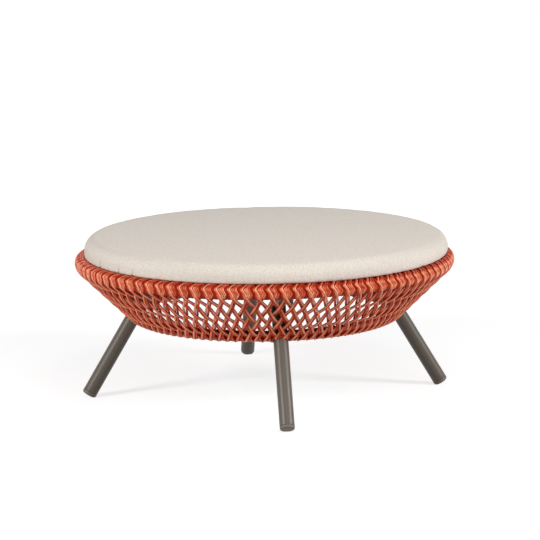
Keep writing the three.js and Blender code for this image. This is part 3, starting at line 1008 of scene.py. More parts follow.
@dataclass
class Basket:
    """The woven wall: two crossing families of strands from the rim down round the lower hoop."""

    rings: Rings
    legs: LegLine
    strands: int = 96  # in each family
    cord: float = 2.6 * MM  # half the width of each of a strand's two cords
    half_thickness: float = 2.15 * MM
    twin: float = 2.75 * MM  # from a strand's middle to each cord's middle
    slit: float = 1.2 * MM  # how far a strand's cords part at most
    slit_places: int = 12  # along a strand, where they may part
    roll: float = 0.6 * MM  # how far the upper cord stands out and the lower one back
    sway: float = 2.15 * MM  # of a strand's middle, over and under the others
    sway_starts: tuple = (-9 * MM, -2 * MM)  # where each family leaves the rim's surface
    sway_rise: float = 8 * MM  # over which the sway grows
    hoop_calm: float = 0.2  # the share of the sway that is lost on the hoop
    hoop_rise: float = 10 * MM
    wander: float = 0.02  # of a pitch, sideways, from strand to strand
    tone: float = 0.08  # of the darkest lower cord; the lower cords stay dark as painted shade
    tone_spread: float = 0.25
    upper_cord_painted_light: float = 0.76  # painted light: how much lighter a strand's upper cord is, on the side where the light falls
    leg_gap: float = 0.3 * MM
    rim_seat: float = 13.8 * MM  # from the ring's middle to a strand's middle
    hoop_seat: float = 12.4 * MM
    first_share: float = 0.045  # of the wall's length down to the first crossing
    last_share: float = 0.955
    crossings: int = 5  # from the first to the last
    tuck: float = 12 * MM  # under the rim's binding
    wrap: float = 38 * MM  # round the hoop
    step: float = 3.4 * MM
    section_points: int = 10
    squareness: float = 2.1
    collar: float = 2.1 * MM  # half the width of the cord round each leg
    collar_lift: float = 0.4 * MM
    collar_turns: float = 1.3
    # painted shade: the collar is a real cord of fibre, kept dark for the shade where the strands end on
    # the leg
    collar_tone: float = 0.15
    seed: int = 7

    def line(self, u: np.ndarray) -> tuple[np.ndarray, np.ndarray]:
        """Follows the wall's section: round the rim, straight down, round the hoop.

        Args:
            u: Distances from the point where the wall leaves the rim.

        Returns:
            Radius and height of each point, and its outward normal.
        """
        r = self.rings
        rise, spread = r.rim_height - r.hoop_height, r.rim_radius - r.hoop_radius
        span = math.hypot(rise, spread)
        lean = math.atan2(rise, spread) - math.acos((self.rim_seat - self.hoop_seat) / span)
        rim_turn = lean + np.maximum(-u, 0.0) / self.rim_seat
        hoop_turn = lean - np.maximum(u - self.length, 0.0) / self.hoop_seat
        turn = np.where(u < 0, rim_turn, hoop_turn)
        normal = np.stack([np.cos(turn), np.sin(turn)], axis=-1)
        rim = np.array([r.rim_radius, r.rim_height]) + normal * self.rim_seat
        hoop = np.array([r.hoop_radius, r.hoop_height]) + normal * self.hoop_seat
        share = np.clip(u / self.length, 0.0, 1.0)[:, None]
        return rim * (1 - share) + hoop * share, normal

    @property
    def length(self) -> float:
        """The straight wall's length between the rings."""
        r = self.rings
        span = math.hypot(r.rim_height - r.hoop_height, r.rim_radius - r.hoop_radius)
        return math.sqrt(span**2 - (self.rim_seat - self.hoop_seat) ** 2)

    def build(self) -> bpy.types.Object:
        """Weaves all strands into one piece.

        Returns:
            The woven wall.
        """
        u = np.arange(-self.tuck, self.length + self.wrap, self.step)
        place, normal = self.line(u)
        slide = np.concatenate([[0.0], np.cumsum(np.diff(u) / ((place[1:, 0] + place[:-1, 0]) / 2))])
        first, last = (np.interp(s * self.length, u, slide) for s in (self.first_share, self.last_share))
        level = (slide - first) / (last - first) * self.crossings
        fade = 1 - self.hoop_calm * rising(u, self.length, self.hoop_rise)
        pitch = math.tau / self.strands
        chance = np.random.default_rng(self.seed)
        shape = Shape()
        for family, start in zip((1, -1), self.sway_starts):
            sway = self.sway * fade * rising(u, start, self.sway_rise)
            flat = place + normal * (family * sway * np.cos(math.pi * level))[:, None]
            for k in range(self.strands):
                turn = k * pitch + family * (level * pitch / 2)
                self._strand(shape, chance, flat, normal, turn, family)
        for side in Side:
            self._collar(shape, side)
        piece = shape.build("woven_wall", 65.0)
        return dress(piece, FIBRE, "frame", "woven_fibre", "basket_weave")

    def _strand(
        self,
        shape: Shape,
        chance: np.random.Generator,
        flat: np.ndarray,
        normal: np.ndarray,
        turn: np.ndarray,
        family: int,
    ) -> None:
        """Lays one strand's two cords side by side from the rim down.

        Args:
            shape: The wall's mesh.
            chance: What its tone, its wandering and its slits are drawn from.
            flat: Radius and height of each point of its middle line.
            normal: The wall's normal at each point, in the same plane.
            turn: Each point's angle round the bowl.
            family: One or minus one, for the way that it runs.
        """
        tone = self.tone + self.tone_spread * chance.random()
        turn = turn + self.wander * (math.tau / self.strands) * chance.standard_normal()
        gap = self.half_thickness + self.leg_gap
        path, outwards = self.legs.part(revolve(flat, turn), revolve(normal, turn), gap)
        knots = np.clip(chance.standard_normal(self.slit_places) - 1.5, 0.0, 1.0) * self.slit
        places = np.linspace(0, len(flat), self.slit_places)
        apart = np.interp(np.arange(len(path)), places, knots) + self.twin
        half = np.array([self.cord, self.half_thickness])
        section = flat_oval(self.section_points, self.squareness)
        for lay in (-1, 1):
            upper = lay == family
            rolled = path + outwards * (self.roll if upper else -self.roll)
            # painted light on the upper cord, painted shade on the lower one
            sweep(shape, rolled, outwards, half, section, tone + self.upper_cord_painted_light * upper, shift=lay * apart)

    def _collar(self, shape: Shape, side: Side) -> None:
        """Winds one cord round a leg, under the strands that end on it.

        Args:
            shape: The wall's mesh.
            side: Which leg.
        """
        foot, up = self.legs.frame(side)
        across = about_z(np.array([0.0, 1.0, 0.0]), side.turn)
        face = np.cross(across, up)
        low = np.array([self.rings.hoop_radius, 0.0, self.rings.hoop_height - self.hoop_seat])
        height = (about_z(low, side.turn) - foot) @ up
        turn = np.linspace(-self.collar_turns, self.collar_turns, 60) * math.pi
        way = np.cos(turn)[:, None] * face + np.sin(turn)[:, None] * across
        rise = height + self.collar_lift + turn / math.tau * 2 * self.collar
        path = foot + up * rise[:, None] + way * (self.legs.radius + self.collar * 1.1)
        half = np.array([self.collar, self.collar * 0.9])
        sweep(shape, path, way, half, flat_oval(8, self.squareness), self.collar_tone)


@dataclass
class Rim:
    """The top ring: round tube, an under-winding and the chevron binding over it.

    Section angles count from the ring's outer side, upwards.
    """

    rings: Rings
    repeats: int = 96  # of the binding's pattern, one for each crossing of the wall
    under_seat: float = 14.9 * MM  # the under-winding's mean radius
    under_rib: float = 0.35 * MM
    under_ribs: int = 4  # in each repeat
    under_girth: float = 14 * MM  # the radius at which its grain is measured
    cord: float = 1.95 * MM  # half a cord's width
    half_thickness: float = 1.8 * MM
    cord_points: int = 78
    seat: float = 15.7 * MM  # the radius at which a cord's length is measured
    lift: float = 0.1 * MM  # of a cord's middle above its seat
    apex: float = math.radians(-1)  # section angle of the outer points
    ridge: float = math.radians(34)  # section angle of the upper points, which lie the other way
    top: float = math.radians(228)
    bottom: float = math.radians(-62)
    slope: float = 0.7  # sideways for each millimetre between the points
    top_slope: float = 0.6  # above the upper points
    top_reach: float = 18 * MM
    far_slope: float = 0.2  # beyond that reach
    chevron_slope: float = 0.45  # back again, below the outer points
    strand_slope: float = -0.3  # straight on, below the points
    wide_share: float = 0.2  # of a repeat, from the crossing below to the broad chevron's middle
    wide_pitch: float = 4.1 * MM  # between its three cords
    narrow_share: float = -0.21
    narrow_pitch: float = 1.75 * MM  # from the middle to each of its two cords
    draw_start: float = math.radians(4)  # above the upper points, where a bundle is drawn together
    draw_turn: float = math.radians(14)
    drawn_in: float = 0.34  # of its width
    thinned: float = 0.32  # of a cord's own width there
    tuck_start: float = math.radians(-36)  # where the lower ends dive behind the wall
    tuck_turn: float = math.radians(22)
    tuck: float = 4.2 * MM
    back_start: float = math.radians(208)  # where the inner ends dive
    back_turn: float = math.radians(20)
    back_tuck: float = 3 * MM
    taper_start: float = math.radians(-34)
    taper_turn: float = math.radians(28)
    taper: float = 0.3
    crest_turn: float = math.radians(5)  # from the upper points down to the knuckle
    crest_spread: float = math.radians(9)
    knuckle: float = 0.6 * MM  # how far a cord stands out where it bends over
    seed: int = 11

    @property
    def middle(self) -> np.ndarray:
        """Radius and height of the tube's middle."""
        return np.array([self.rings.rim_radius, self.rings.rim_height])

    def build(self) -> None:
        """Builds the tube, the under-winding and the chevrons."""
        tube = Shape()
        lathe(tube, round_section(20) * self.rings.rim_tube + self.middle, 240)
        dress(tube.build("rim_tube_round"), TUBE, "frame", "frame_tube", "rim_tube")
        self._under_winding()
        self._binding()

    def _under_winding(self) -> None:
        """Builds the close ribs of fibre that show between the chevrons."""
        under = Shape()
        turns = np.linspace(0, math.tau, self.repeats * self.under_ribs * 2, endpoint=False)[:, None]
        rib = np.cos(turns * self.repeats * self.under_ribs)
        angle = np.linspace(0, math.tau, 18, endpoint=False)
        flat = self.middle + (self.under_seat + self.under_rib * rib)[..., None] * section_way(angle)
        points = revolve(flat, turns)
        grain = np.zeros(points.shape)
        grain[..., 0] = angle * self.under_girth
        grain[..., 1] = rib
        grain[..., 2] = 0.4
        under.grid(points, grain, loop=True)
        dress(under.build("rim_under_winding", 80.0), SHADED_FIBRE, "frame", "woven_fibre", "rim_wrap")

    def _binding(self) -> None:
        """Lays the broad and the narrow bundles of cords round the ring."""
        binding = Shape()
        chance = np.random.default_rng(self.seed)
        pitch = math.tau / self.repeats
        for k in range(self.repeats):
            for place in (-1, 0, 1):
                tone = 0.05 + 0.65 * chance.random()
                middle = (k + self.wide_share) * pitch
                self._cord(binding, middle, place * self.wide_pitch, self.chevron_slope, tone)
            for place in (-1, 1):
                # painted light and shade: of each narrow pair one cord is lighter, as lit, and the other
                # darker, as shaded
                tone = 0.55 + 0.3 * place + 0.2 * chance.random()
                middle = (k + self.narrow_share) * pitch
                self._cord(binding, middle, place * self.narrow_pitch, self.strand_slope, tone)
        dress(binding.build("rim_chevron_binding", 65.0), BINDING_FIBRE, "frame", "woven_fibre")

    def _cord(self, shape: Shape, middle: float, offset: float, below: float, tone: float) -> None:
        """Lays one cord from inside the ring over it to its point and on down.

        Args:
            shape: The binding's mesh.
            middle: The bundle's angle round the ring, at its point.
            offset: The cord's own distance from the bundle's middle.
            below: How far it turns back for each millimetre down from its point.
            tone: Its shade.
        """
        phi = np.linspace(self.top, self.bottom, self.cord_points)
        rest, knee = (phi - self.apex) * self.seat, (self.ridge - self.apex) * self.seat
        slant = -np.where(rest > 0, np.minimum(rest, knee) * self.slope, -rest * below)
        over = np.maximum(rest - knee, 0.0)
        near = np.minimum(over, self.top_reach)
        slant = slant + near * self.top_slope + (over - near) * self.far_slope
        above = rising(phi, self.ridge + self.draw_start, self.draw_turn)
        turn = middle + (offset * (1 - self.drawn_in * above) + slant) / self.rings.rim_radius
        sink = rising(phi, self.tuck_start, -self.tuck_turn) ** 1.5 * self.tuck
        sink = sink + rising(phi, self.back_start, self.back_turn) * self.back_tuck
        taper = 1 - self.taper * rising(phi, self.taper_start, -self.taper_turn)
        # painted light: the cords turn lighter below the outer points, as if lit back from the floor
        under = rising(phi, self.apex + math.radians(8), -math.radians(20))
        # painted highlight: the cord is lighter on its knuckle, where it also stands out
        crest = np.exp(-(((phi - self.ridge + self.crest_turn) / self.crest_spread) ** 2))
        seat = self.seat + self.lift - sink + self.knuckle * crest
        way = section_way(phi)
        path = revolve(self.middle + seat[:, None] * way, turn)
        half_width = self.cord * (taper - self.thinned * above)
        half = np.stack([half_width, np.full(len(phi), self.half_thickness)], axis=-1)
        # painted shade above the upper points, where the cushion shades the cords, and painted light below
        # the outer points
        shade = tone - 0.3 * above + 0.3 * under + 0.25 * crest
        sweep(shape, path, revolve(way, turn), half, flat_oval(8, 2.1), shade)


@dataclass
class LowerHoop:
    """The hoop's four arcs of tube between the legs, each under a close winding."""

    rings: Rings
    legs: LegLine
    turns_each: int = 84
    turn_points: int = 12
    cord: float = 1.7 * MM  # half the winding's thickness
    half_width: float = 2.6 * MM
    leg_gap: float = 0.5 * MM

    def build(self) -> None:
        """Builds four arcs and their windings."""
        r = self.rings
        gap = math.asin((self.legs.radius + self.leg_gap) / r.hoop_radius)
        middle = np.array([r.hoop_radius, r.hoop_height])
        for side in Side:
            number = side.value + 1
            start, end = side.turn + gap, side.turn + math.pi / 2 - gap
            tube = Shape()
            lathe(tube, round_section(16) * r.hoop_tube + middle, 48, start, end)
            dress(tube.build(f"hoop_tube_{number}"), TUBE, "frame", "frame_tube", f"lower_hoop_{number}")

            winding = Shape()
            share = np.linspace(0, 1, self.turns_each * self.turn_points)
            turn = start + (end - start) * share
            way = section_way(share * self.turns_each * math.tau)
            path = revolve(middle + (r.hoop_tube + self.cord) * way, turn)
            half = np.array([self.half_width, self.cord])
            sweep(winding, path, revolve(way, turn), half, flat_oval(8), 0.4)
            piece = winding.build(f"hoop_winding_{number}", 70.0)
            dress(piece, SHADED_HOOP_FIBRE, "frame", "woven_fibre", f"lower_hoop_wrap_{number}")


def weld(shape: Shape, path: np.ndarray, outwards: np.ndarray, radius: float = 2.2 * MM) -> None:
    """Lays a rippled weld bead along a path.

    Args:
        shape: The mesh that takes the bead.
        path: The bead's centre line, closed.
        outwards: A direction square to the path at each point.
        radius: The bead's radius.
    """
    ripple = 1 + 0.12 * np.cos(np.arange(len(path)) * math.pi)
    half = np.stack([radius * ripple, radius * ripple], axis=-1)
    sweep(shape, path, outwards, half, round_section(8), 0.5, loop=True)


@dataclass
class Leg:
    """One splayed round tube with a level top under the deck bar, and its foot glide."""

    line: LegLine
    side: Side
    top: float
    sides: int = 72
    wall: float = 2 * MM
    bevel: float = 0.5 * MM  # at the tube's lower end
    mitre_share: float = 0.9  # of the tube's length, from where its rows tilt towards the level top
    inner_depth: float = 8 * MM  # of the bore that is drawn at the top
    weld_out: float = 0.6 * MM  # of the bead's middle past the tube
    weld_down: float = 0.8 * MM
    glide_head: float = 8 * MM
    glide_edge: float = 4 * MM
    glide_crown: float = 1 * MM
    glide_bevel: float = 0.4 * MM
    spigot_length: float = 24 * MM
    spigot_bevel: float = 2 * MM
    joint_gap: float = 0.3 * MM
    flat_depth: float = 1.2 * MM

    @property
    def sole(self) -> float:
        """Height of the sole's centre above the floor."""
        edge = self.line.radius - self.glide_edge
        splay = self.line.splay
        low = self.glide_edge * math.cos(splay) - edge * math.sin(splay) - self.glide_edge
        return -low - self.flat_depth

    def _place(self, points: np.ndarray) -> np.ndarray:
        """Puts points drawn up +Z from the foot onto the splayed leg.

        Args:
            points: The points, any rows by three.

        Returns:
            The placed points.
        """
        c, s = math.cos(self.line.splay), math.sin(self.line.splay)
        tilt = np.array([[c, 0.0, s], [0.0, 1.0, 0.0], [-s, 0.0, c]])
        foot = np.array([self.line.foot_radius - self.sole * math.tan(self.line.splay), 0.0, self.sole])
        return about_z(points @ tilt + foot, self.side.turn)

    def build(self) -> None:
        """Builds the tube with its weld, and the glide."""
        self._tube()
        self._glide()

    def _ring(self, radius: float, height: float | np.ndarray) -> np.ndarray:
        """Gives one ring of points square to the leg.

        Args:
            radius: The ring's radius.
            height: How far up the leg it lies, for all points or each.

        Returns:
            The ring's points, drawn up +Z.
        """
        circle = round_section(self.sides) * radius
        return np.column_stack([circle, np.broadcast_to(height, self.sides)])

    def _tube(self) -> None:
        """Builds the tube, from its bevelled lower end to the weld round its level top."""
        radius, inner, bevel = self.line.radius, self.line.radius - self.wall, self.bevel
        start = self.glide_head + self.joint_gap
        end = (self.top - self.sole) / math.cos(self.line.splay)
        lean = round_section(self.sides)[:, 0] * math.tan(self.line.splay)
        rows = [
            self._ring(inner, start + bevel),
            self._ring(inner, start),
            self._ring(radius - bevel, start),
            self._ring(radius - 0.15 * bevel, start + 0.3 * bevel),
            self._ring(radius, start + bevel),
        ]
        for share in np.linspace(0.02, 1.0, 24):
            tilt = max(0.0, (share - self.mitre_share) / (1 - self.mitre_share))
            rows.append(self._ring(radius, start + (end - start) * share + lean * radius * tilt))
        rows.append(self._ring(inner, end + lean * inner))
        rows.append(self._ring(inner, end + lean * inner - self.inner_depth))
        tube = Shape()
        tube.grid(self._place(np.stack(rows)), caps=False)
        around = self._place(self._ring(radius + self.weld_out, end + lean * radius - self.weld_down))
        weld(tube, around, np.tile(UP, (len(around), 1)))
        name = self.side.word
        dress(tube.build(f"leg_tube_{name}"), COAT, "frame", "powder_coated_leg", f"leg_{name}")

    def _glide(self) -> None:
        """Builds the foot glide: a crowned sole cut flat on the floor, a head and a spigot in the tube."""
        radius, head, bevel = self.line.radius, self.glide_head, self.glide_bevel
        edge = radius - self.glide_edge
        steps = np.arange(round(edge / MM)) * MM
        profile = [(step, -self.glide_crown * (1 - (step / edge) ** 2)) for step in steps]
        for turn in np.linspace(0, math.pi / 2, 9):
            profile.append(
                (edge + self.glide_edge * math.sin(turn), self.glide_edge * (1 - math.cos(turn)))
            )
        spigot = radius - self.wall - self.joint_gap
        tip = head + self.spigot_length
        profile += [
            (radius, head - bevel),
            (radius - 0.3 * bevel, head - 0.3 * bevel),
            (radius - bevel, head),
            (spigot, head),
            (spigot, tip - self.spigot_bevel),
            (spigot - self.spigot_bevel, tip),
        ]
        rows = [self._ring(max(r, 0.2 * MM), z) for r, z in profile]
        points = self._place(np.stack(rows))
        points[..., 2] = np.maximum(points[..., 2], 0.0)
        glide = Shape()
        glide.grid(points)
        name = self.side.word
        dress(glide.build(f"glide_{name}", 50.0), NYLON, "frame", "glide_plastic", f"foot_glide_{name}")


@dataclass
class Deck:
    """The cross of flat tubes under the rim: one long bar and two short ones welded to its middle."""

    wall_room: float = 4.5 * MM  # kept back from the strands
    corner: float = 3 * MM
    corner_steps: int = 4
    end_slope: float = 0.94  # how far an end draws in for each unit down, as the wall does
    weld_radius: float = 1.6 * MM
    weld_out: float = 0.5 * MM
    weld_size: float = 1.03  # of the bead's middle line, against the bar's outline

    def section(self, width: float, height: float) -> np.ndarray:
        """Gives a rounded rectangle, counter-clockwise.

        Args:
            width: Across.
            height: Up.

        Returns:
            The outline's points.
        """
        points = []
        for i, (sx, sz) in enumerate(((1, 1), (-1, 1), (-1, -1), (1, -1))):
            for step in range(self.corner_steps + 1):
                turn = (i + step / self.corner_steps) * math.pi / 2
                x = sx * (width / 2 - self.corner) + self.corner * math.cos(turn)
                z = sz * (height / 2 - self.corner) + self.corner * math.sin(turn)
                points.append((x, z))
        return np.array(points)

    def bar(self, name: str, node: str, start: float, end: float, turn: float) -> None:
        """Builds one bar along a direction, with its far end mitred to the wall.

        Args:
            name: The piece's name.
            node: The node that it stands for.
            start: Where it starts on the direction; less than zero for a bar with two far ends.
            end: Where its top edge ends.
            turn: The direction's angle.
        """
        low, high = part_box(node)
        height, middle = high.z - low.z, (high.z + low.z) / 2
        outline = self.section(min(high.x - low.x, high.y - low.y), height)
        far = end + (outline[:, 1] - height / 2) * self.end_slope
        near = -far if start < 0 else np.full(len(outline), start)
        rows = [
            np.column_stack([near + (far - near) * share, outline[:, 0], middle + outline[:, 1]])
            for share in np.linspace(0, 1, 12)
        ]
        shape = Shape()
        shape.grid(about_z(np.stack(rows), turn))
        if start > 0:
            size = outline * self.weld_size
            x = np.full(len(outline), start + self.weld_out)
            path = np.column_stack([x, size[:, 0], middle + size[:, 1]])
            closed = np.vstack([path, path[:1]])
            steps, index = np.linspace(0, len(path), 96), np.arange(len(closed))
            fine = np.stack([np.interp(steps, index, column) for column in closed.T], axis=-1)[:-1]
            ways = np.tile(np.array([1.0, 0.0, 0.0]), (len(fine), 1))
            weld(shape, about_z(fine, turn), about_z(ways, turn), self.weld_radius)
        dress(shape.build(name, 50.0), COAT, "frame", "powder_coated_leg", node)

    def build(self) -> None:
        """Builds the three bars."""
        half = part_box("deck_bar_long")[1].x - self.wall_room
        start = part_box("deck_bar_back")[0].y
        self.bar("deck_bar_across", "deck_bar_long", -half, half, 0.0)
        self.bar("deck_bar_rear", "deck_bar_back", start, half, math.pi / 2)
        self.bar("deck_bar_fore", "deck_bar_front", start, half, -math.pi / 2)


@dataclass
class Webbing:
    """Ten belts woven over and under each other across the rim, five each way."""

    rings: Rings
    belts: int = 5  # each way
    thickness: float = 1.7 * MM
    sway: float = 0.95 * MM
    pitch: float = 120 * MM
    woven_pitches: float = 2.6  # from the middle to where a belt runs flat
    rim_gap: float = 1 * MM
    stitch_rows: tuple = (14 * MM, 26 * MM)  # from a belt's end
    stitches: int = 9  # in each row
    stitch_pitch: float = 5 * MM
    stitch_half: float = 1.6 * MM
    stitch_rise: float = 0.25 * MM

    def build(self) -> None:
        """Builds the belts of both layers."""
        middle = (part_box("deck_belt_x_1")[1].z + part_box("deck_belt_y_1")[0].z) / 2
        for along, first, turn in (("x", 1, 0.0), ("y", -1, math.pi / 2)):
            for i in range(self.belts):
                node = f"deck_belt_{along}_{i + 1}"
                low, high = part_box(node)
                across = (low.y + high.y) / 2 if along == "x" else -(low.x + high.x) / 2
                width = high.y - low.y if along == "x" else high.x - low.x
                self._belt(node, i, across, width, middle, first, turn)

    def _belt(
        self, node: str, number: int, across: float, width: float, middle: float, first: int, turn: float
    ) -> None:
        """Builds one belt along X, then turns it to its layer.

        Args:
            node: The node that it stands for.
            number: Its place in the layer.
            across: Its distance from the middle.
            width: Its width.
            middle: The belts' middle height.
            first: One if it passes over the first belt that it meets, or minus one if under.
            turn: The layer's angle, in radians.
        """
        inner = self.rings.rim_radius - self.rings.rim_tube - self.rim_gap
        reach = math.sqrt(inner**2 - across**2)
        x = np.linspace(-reach, reach, 110)
        over = np.cos(math.pi * (x / self.pitch + number)) * first
        over = np.sign(over) * np.abs(over) ** 0.6
        sway = np.where(np.abs(x) < self.woven_pitches * self.pitch, self.sway * over, 0.0)
        path = np.stack([x, np.full(len(x), across), middle + sway], axis=-1)
        half = np.array([width / 2, self.thickness / 2])
        shape = Shape()
        sweep(shape, path, np.tile(UP, (len(x), 1)), half, flat_oval(16, 6.0), (number + 0.5) / self.belts)
        self._stitches(shape, across, reach, middle)
        shape.turn(turn)
        dress(shape.build(node.removeprefix("deck_"), 50.0), WEBBING, "frame", "deck_webbing", node)

    def _stitches(self, shape: Shape, across: float, reach: float, middle: float) -> None:
        """Sews two rows of stitches across the belt near each end.

        Args:
            shape: The belt's mesh.
            across: The belt's distance from the middle.
            reach: Half the belt's length.
            middle: The belts' middle height.
        """
        half = np.array([0.5 * MM, 0.35 * MM])
        for end in (-1, 1):
            for row in self.stitch_rows:
                x = end * (reach - row)
                for k in range(self.stitches):
                    y = across + (k - self.stitches // 2) * self.stitch_pitch
                    for face in (-1, 1):
                        z = middle + face * self.thickness / 2
                        path = np.array(
                            [
                                [x, y - self.stitch_half, z],
                                [x, y, z + face * self.stitch_rise],
                                [x, y + self.stitch_half, z],
                            ]
                        )
                        sweep(shape, path, np.tile(UP, (3, 1)), half, round_section(6), 0.9)


@dataclass(frozen=True)
class Fold:
    """A short crease that runs up the cushion's side from its hidden seam."""

    turn: float  # its angle round the cushion
    width: float
    rise: float
    depth: float
    lean: float  # sideways for each unit up

    def measure(
        self, turn: np.ndarray, radius: np.ndarray, above: np.ndarray
    ) -> tuple[np.ndarray, np.ndarray]:
        """Measures points against the crease.

        Args:
            turn: Their angles round the cushion.
            radius: Their distances from its axis.
            above: Their heights above the seam.

        Returns:
            How far aside each lies, and its share of the crease's rise.
        """
        off = (turn - self.turn + math.pi) % math.tau - math.pi
        return off * radius - self.lean * above, np.clip(above / self.rise, 0, 1)


@dataclass
class Cushion:
    """The loose round cushion: sewn canvas cover, foam, mesh base and zip."""

    rings: Rings
    edge_radius: float = 29 * MM
    crown: float = 5 * MM
    lowest_turn: float = math.radians(-68)  # of the rounded side, under the rim's top
    boxiness: float = 0.3  # of the side's lower half, where one is round
    rim_gap: float = 0.3 * MM  # kept clear of the rim's binding
    bulge: float = 1.5 * MM  # of the side where it meets the rim
    bulge_turn: float = math.radians(-24)
    bulge_spread: float = math.radians(14)
    base_room: float = 8 * MM  # from the flat base out to the rounded side
    start_inset: float = 5 * MM  # the cover starts this much smaller and swells
    skin: float = 0.3 * MM  # kept inside the outer face and above the deck
    foam_inset: float = 4 * MM
    foam_base: float = 5 * MM
    sides: int = 144
    voxel: float = 5 * MM
    cap: float = 6 * MM  # on how far a point may move
    pressure: float = 4.0
    frames: int = 20
    fit_bins: int = 100  # along the section, in which the swelling's mean is taken
    bin_steps: int = 12
    unevenness: float = 0.4  # the share of the swelling's unevenness that a full cushion keeps
    lean: float = 4 * MM  # of the loose cushion's upper part, away from its base
    lean_turn: float = math.radians(-6)
    hem_radius: float = 337.3 * MM
    mouth: float = 322 * MM
    seam_height: float = 14 * MM  # above the rim's middle
    folds: tuple = ((201.2, 25.0), (212.7, 22.0), (219.2, 20.0), (207.0, 12.0))  # deepest: degrees, mm
    fold_shade: float = 2.3 * MM  # the half width of their painted shade
    puckers: int = 46
    zip_slot: float = 11 * MM  # half the opening's width
    zip_opening: float = 270 * MM  # half its length
    base_cloth: float = 2.4 * MM
    seed: int = 5

    def profile(self, inset: float, base: float) -> np.ndarray:
        """Draws the cushion's section from its base to its crown.

        Args:
            inset: How far inside the outer face it lies.
            base: The height of its flat base.

        Returns:
            Radius and height of each point.
        """
        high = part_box("cushion_cover")[1]
        edge_r = high.x - self.edge_radius
        shoulder = high.z - self.crown
        edge_z = shoulder - self.edge_radius
        rnd = self.edge_radius - inset
        turns = np.linspace(self.lowest_turn, math.pi / 2, 40)
        full = np.where(turns < 0, np.cos(turns) ** self.boxiness, np.cos(turns))
        bulge = self.bulge * np.exp(-(((turns - self.bulge_turn) / self.bulge_spread) ** 2))
        edge = np.column_stack([edge_r + rnd * full + bulge, edge_z + rnd * np.sin(turns)])
        shares = np.linspace(0.0, 0.96, 12)[::-1]
        top = np.column_stack([edge_r * shares, shoulder - inset + self.crown * (1 - shares**2)])
        under = np.column_stack([np.linspace(0.0, edge[0, 0] - self.base_room, 8), np.full(8, base)])
        points = np.vstack([under, edge, top])
        rim = np.array([self.rings.rim_radius, self.rings.rim_height])
        arm = points - rim
        far = np.linalg.norm(arm, axis=1, keepdims=True)
        clear = self.rings.rim_bound + self.rim_gap + inset
        return np.where(far < clear, rim + arm * clear / far, points)

    def _closed(self, name: str, profile: np.ndarray) -> bpy.types.Object:
        """Turns a profile that starts and ends on the axis into a closed body.

        Args:
            name: The body's name.
            profile: Radius and height of each point.

        Returns:
            The body.
        """
        shape = Shape()
        safe = np.column_stack([np.maximum(profile[:, 0], 0.5 * MM), profile[:, 1]])
        turns = np.linspace(0, math.tau, self.sides, endpoint=False)
        shape.grid(revolve(safe[:, None], turns[None]))
        return shape.build(name)

    def _remeshed(self, source: bpy.types.Object) -> bpy.types.Object:
        """Gives the body an even mesh of small faces.

        Args:
            source: The body, which is removed.

        Returns:
            The remeshed body.
        """
        remesh = source.modifiers.new("remesh", "REMESH")
        remesh.mode = "VOXEL"
        remesh.voxel_size = self.voxel
        seen = source.evaluated_get(bpy.context.evaluated_depsgraph_get())
        mesh = bpy.data.meshes.new_from_object(seen)
        name = source.name
        bpy.data.objects.remove(source)
        piece = bpy.data.objects.new(name, mesh)
        bpy.context.scene.collection.objects.link(piece)
        return piece

    def _swell(self, piece: bpy.types.Object, base: float) -> None:
        """Blows the cover up like a filled cushion, held at its base.

        Args:
            piece: The remeshed cover, which takes the swollen shape.
            base: The height of its base.
        """
        start = coordinates(piece)
        pins = piece.vertex_groups.new(name="base")
        held = np.nonzero(start[:, 2] < base + 3 * MM)[0]
        pins.add(held.tolist(), 1.0, "REPLACE")
        cloth = piece.modifiers.new("cloth", "CLOTH")
        settings = cloth.settings
        settings.quality = 6
        settings.mass = 0.3
        settings.use_pressure = True
        settings.uniform_pressure_force = self.pressure
        settings.vertex_group_mass = "base"
        settings.effector_weights.gravity = 0
        scene = bpy.context.scene
        for frame in range(1, self.frames + 1):
            scene.frame_set(frame)
        moved = coordinates(piece.evaluated_get(bpy.context.evaluated_depsgraph_get()))
        piece.modifiers.remove(cloth)
        scene.frame_set(1)
        step = moved - start
        size = np.linalg.norm(step, axis=1, keepdims=True)
        kept = self.cap * np.tanh(size / self.cap) / np.maximum(size, 1e-9)
        piece.data.vertices.foreach_set("co", (start + step * kept).ravel())
        piece.data.update()

    def _fit(
        self, piece: bpy.types.Object, drawn: np.ndarray, meant: np.ndarray, start: np.ndarray
    ) -> None:
        """Brings the cover's mean section to its meant size and leaves some of its unevenness.

        Args:
            piece: The swollen cover.
            drawn: The section that it started from.
            meant: The section that it should have, point for point.
            start: The cover's points before it swelled.
        """
        fine = np.linspace(0, len(drawn) - 1, self.fit_bins * self.bin_steps)
        index = np.arange(len(drawn))
        line = np.stack([np.interp(fine, index, column) for column in drawn.T], axis=-1)
        goal = np.stack([np.interp(fine, index, column) for column in meant.T], axis=-1)
        tree = KDTree(len(line))
        for i, (radius, height) in enumerate(line):
            tree.insert((radius, height, 0.0), i)
        tree.balance()
        flat = np.column_stack([np.hypot(start[:, 0], start[:, 1]), start[:, 2]])
        nearest = np.array([tree.find((radius, height, 0.0))[1] for radius, height in flat])

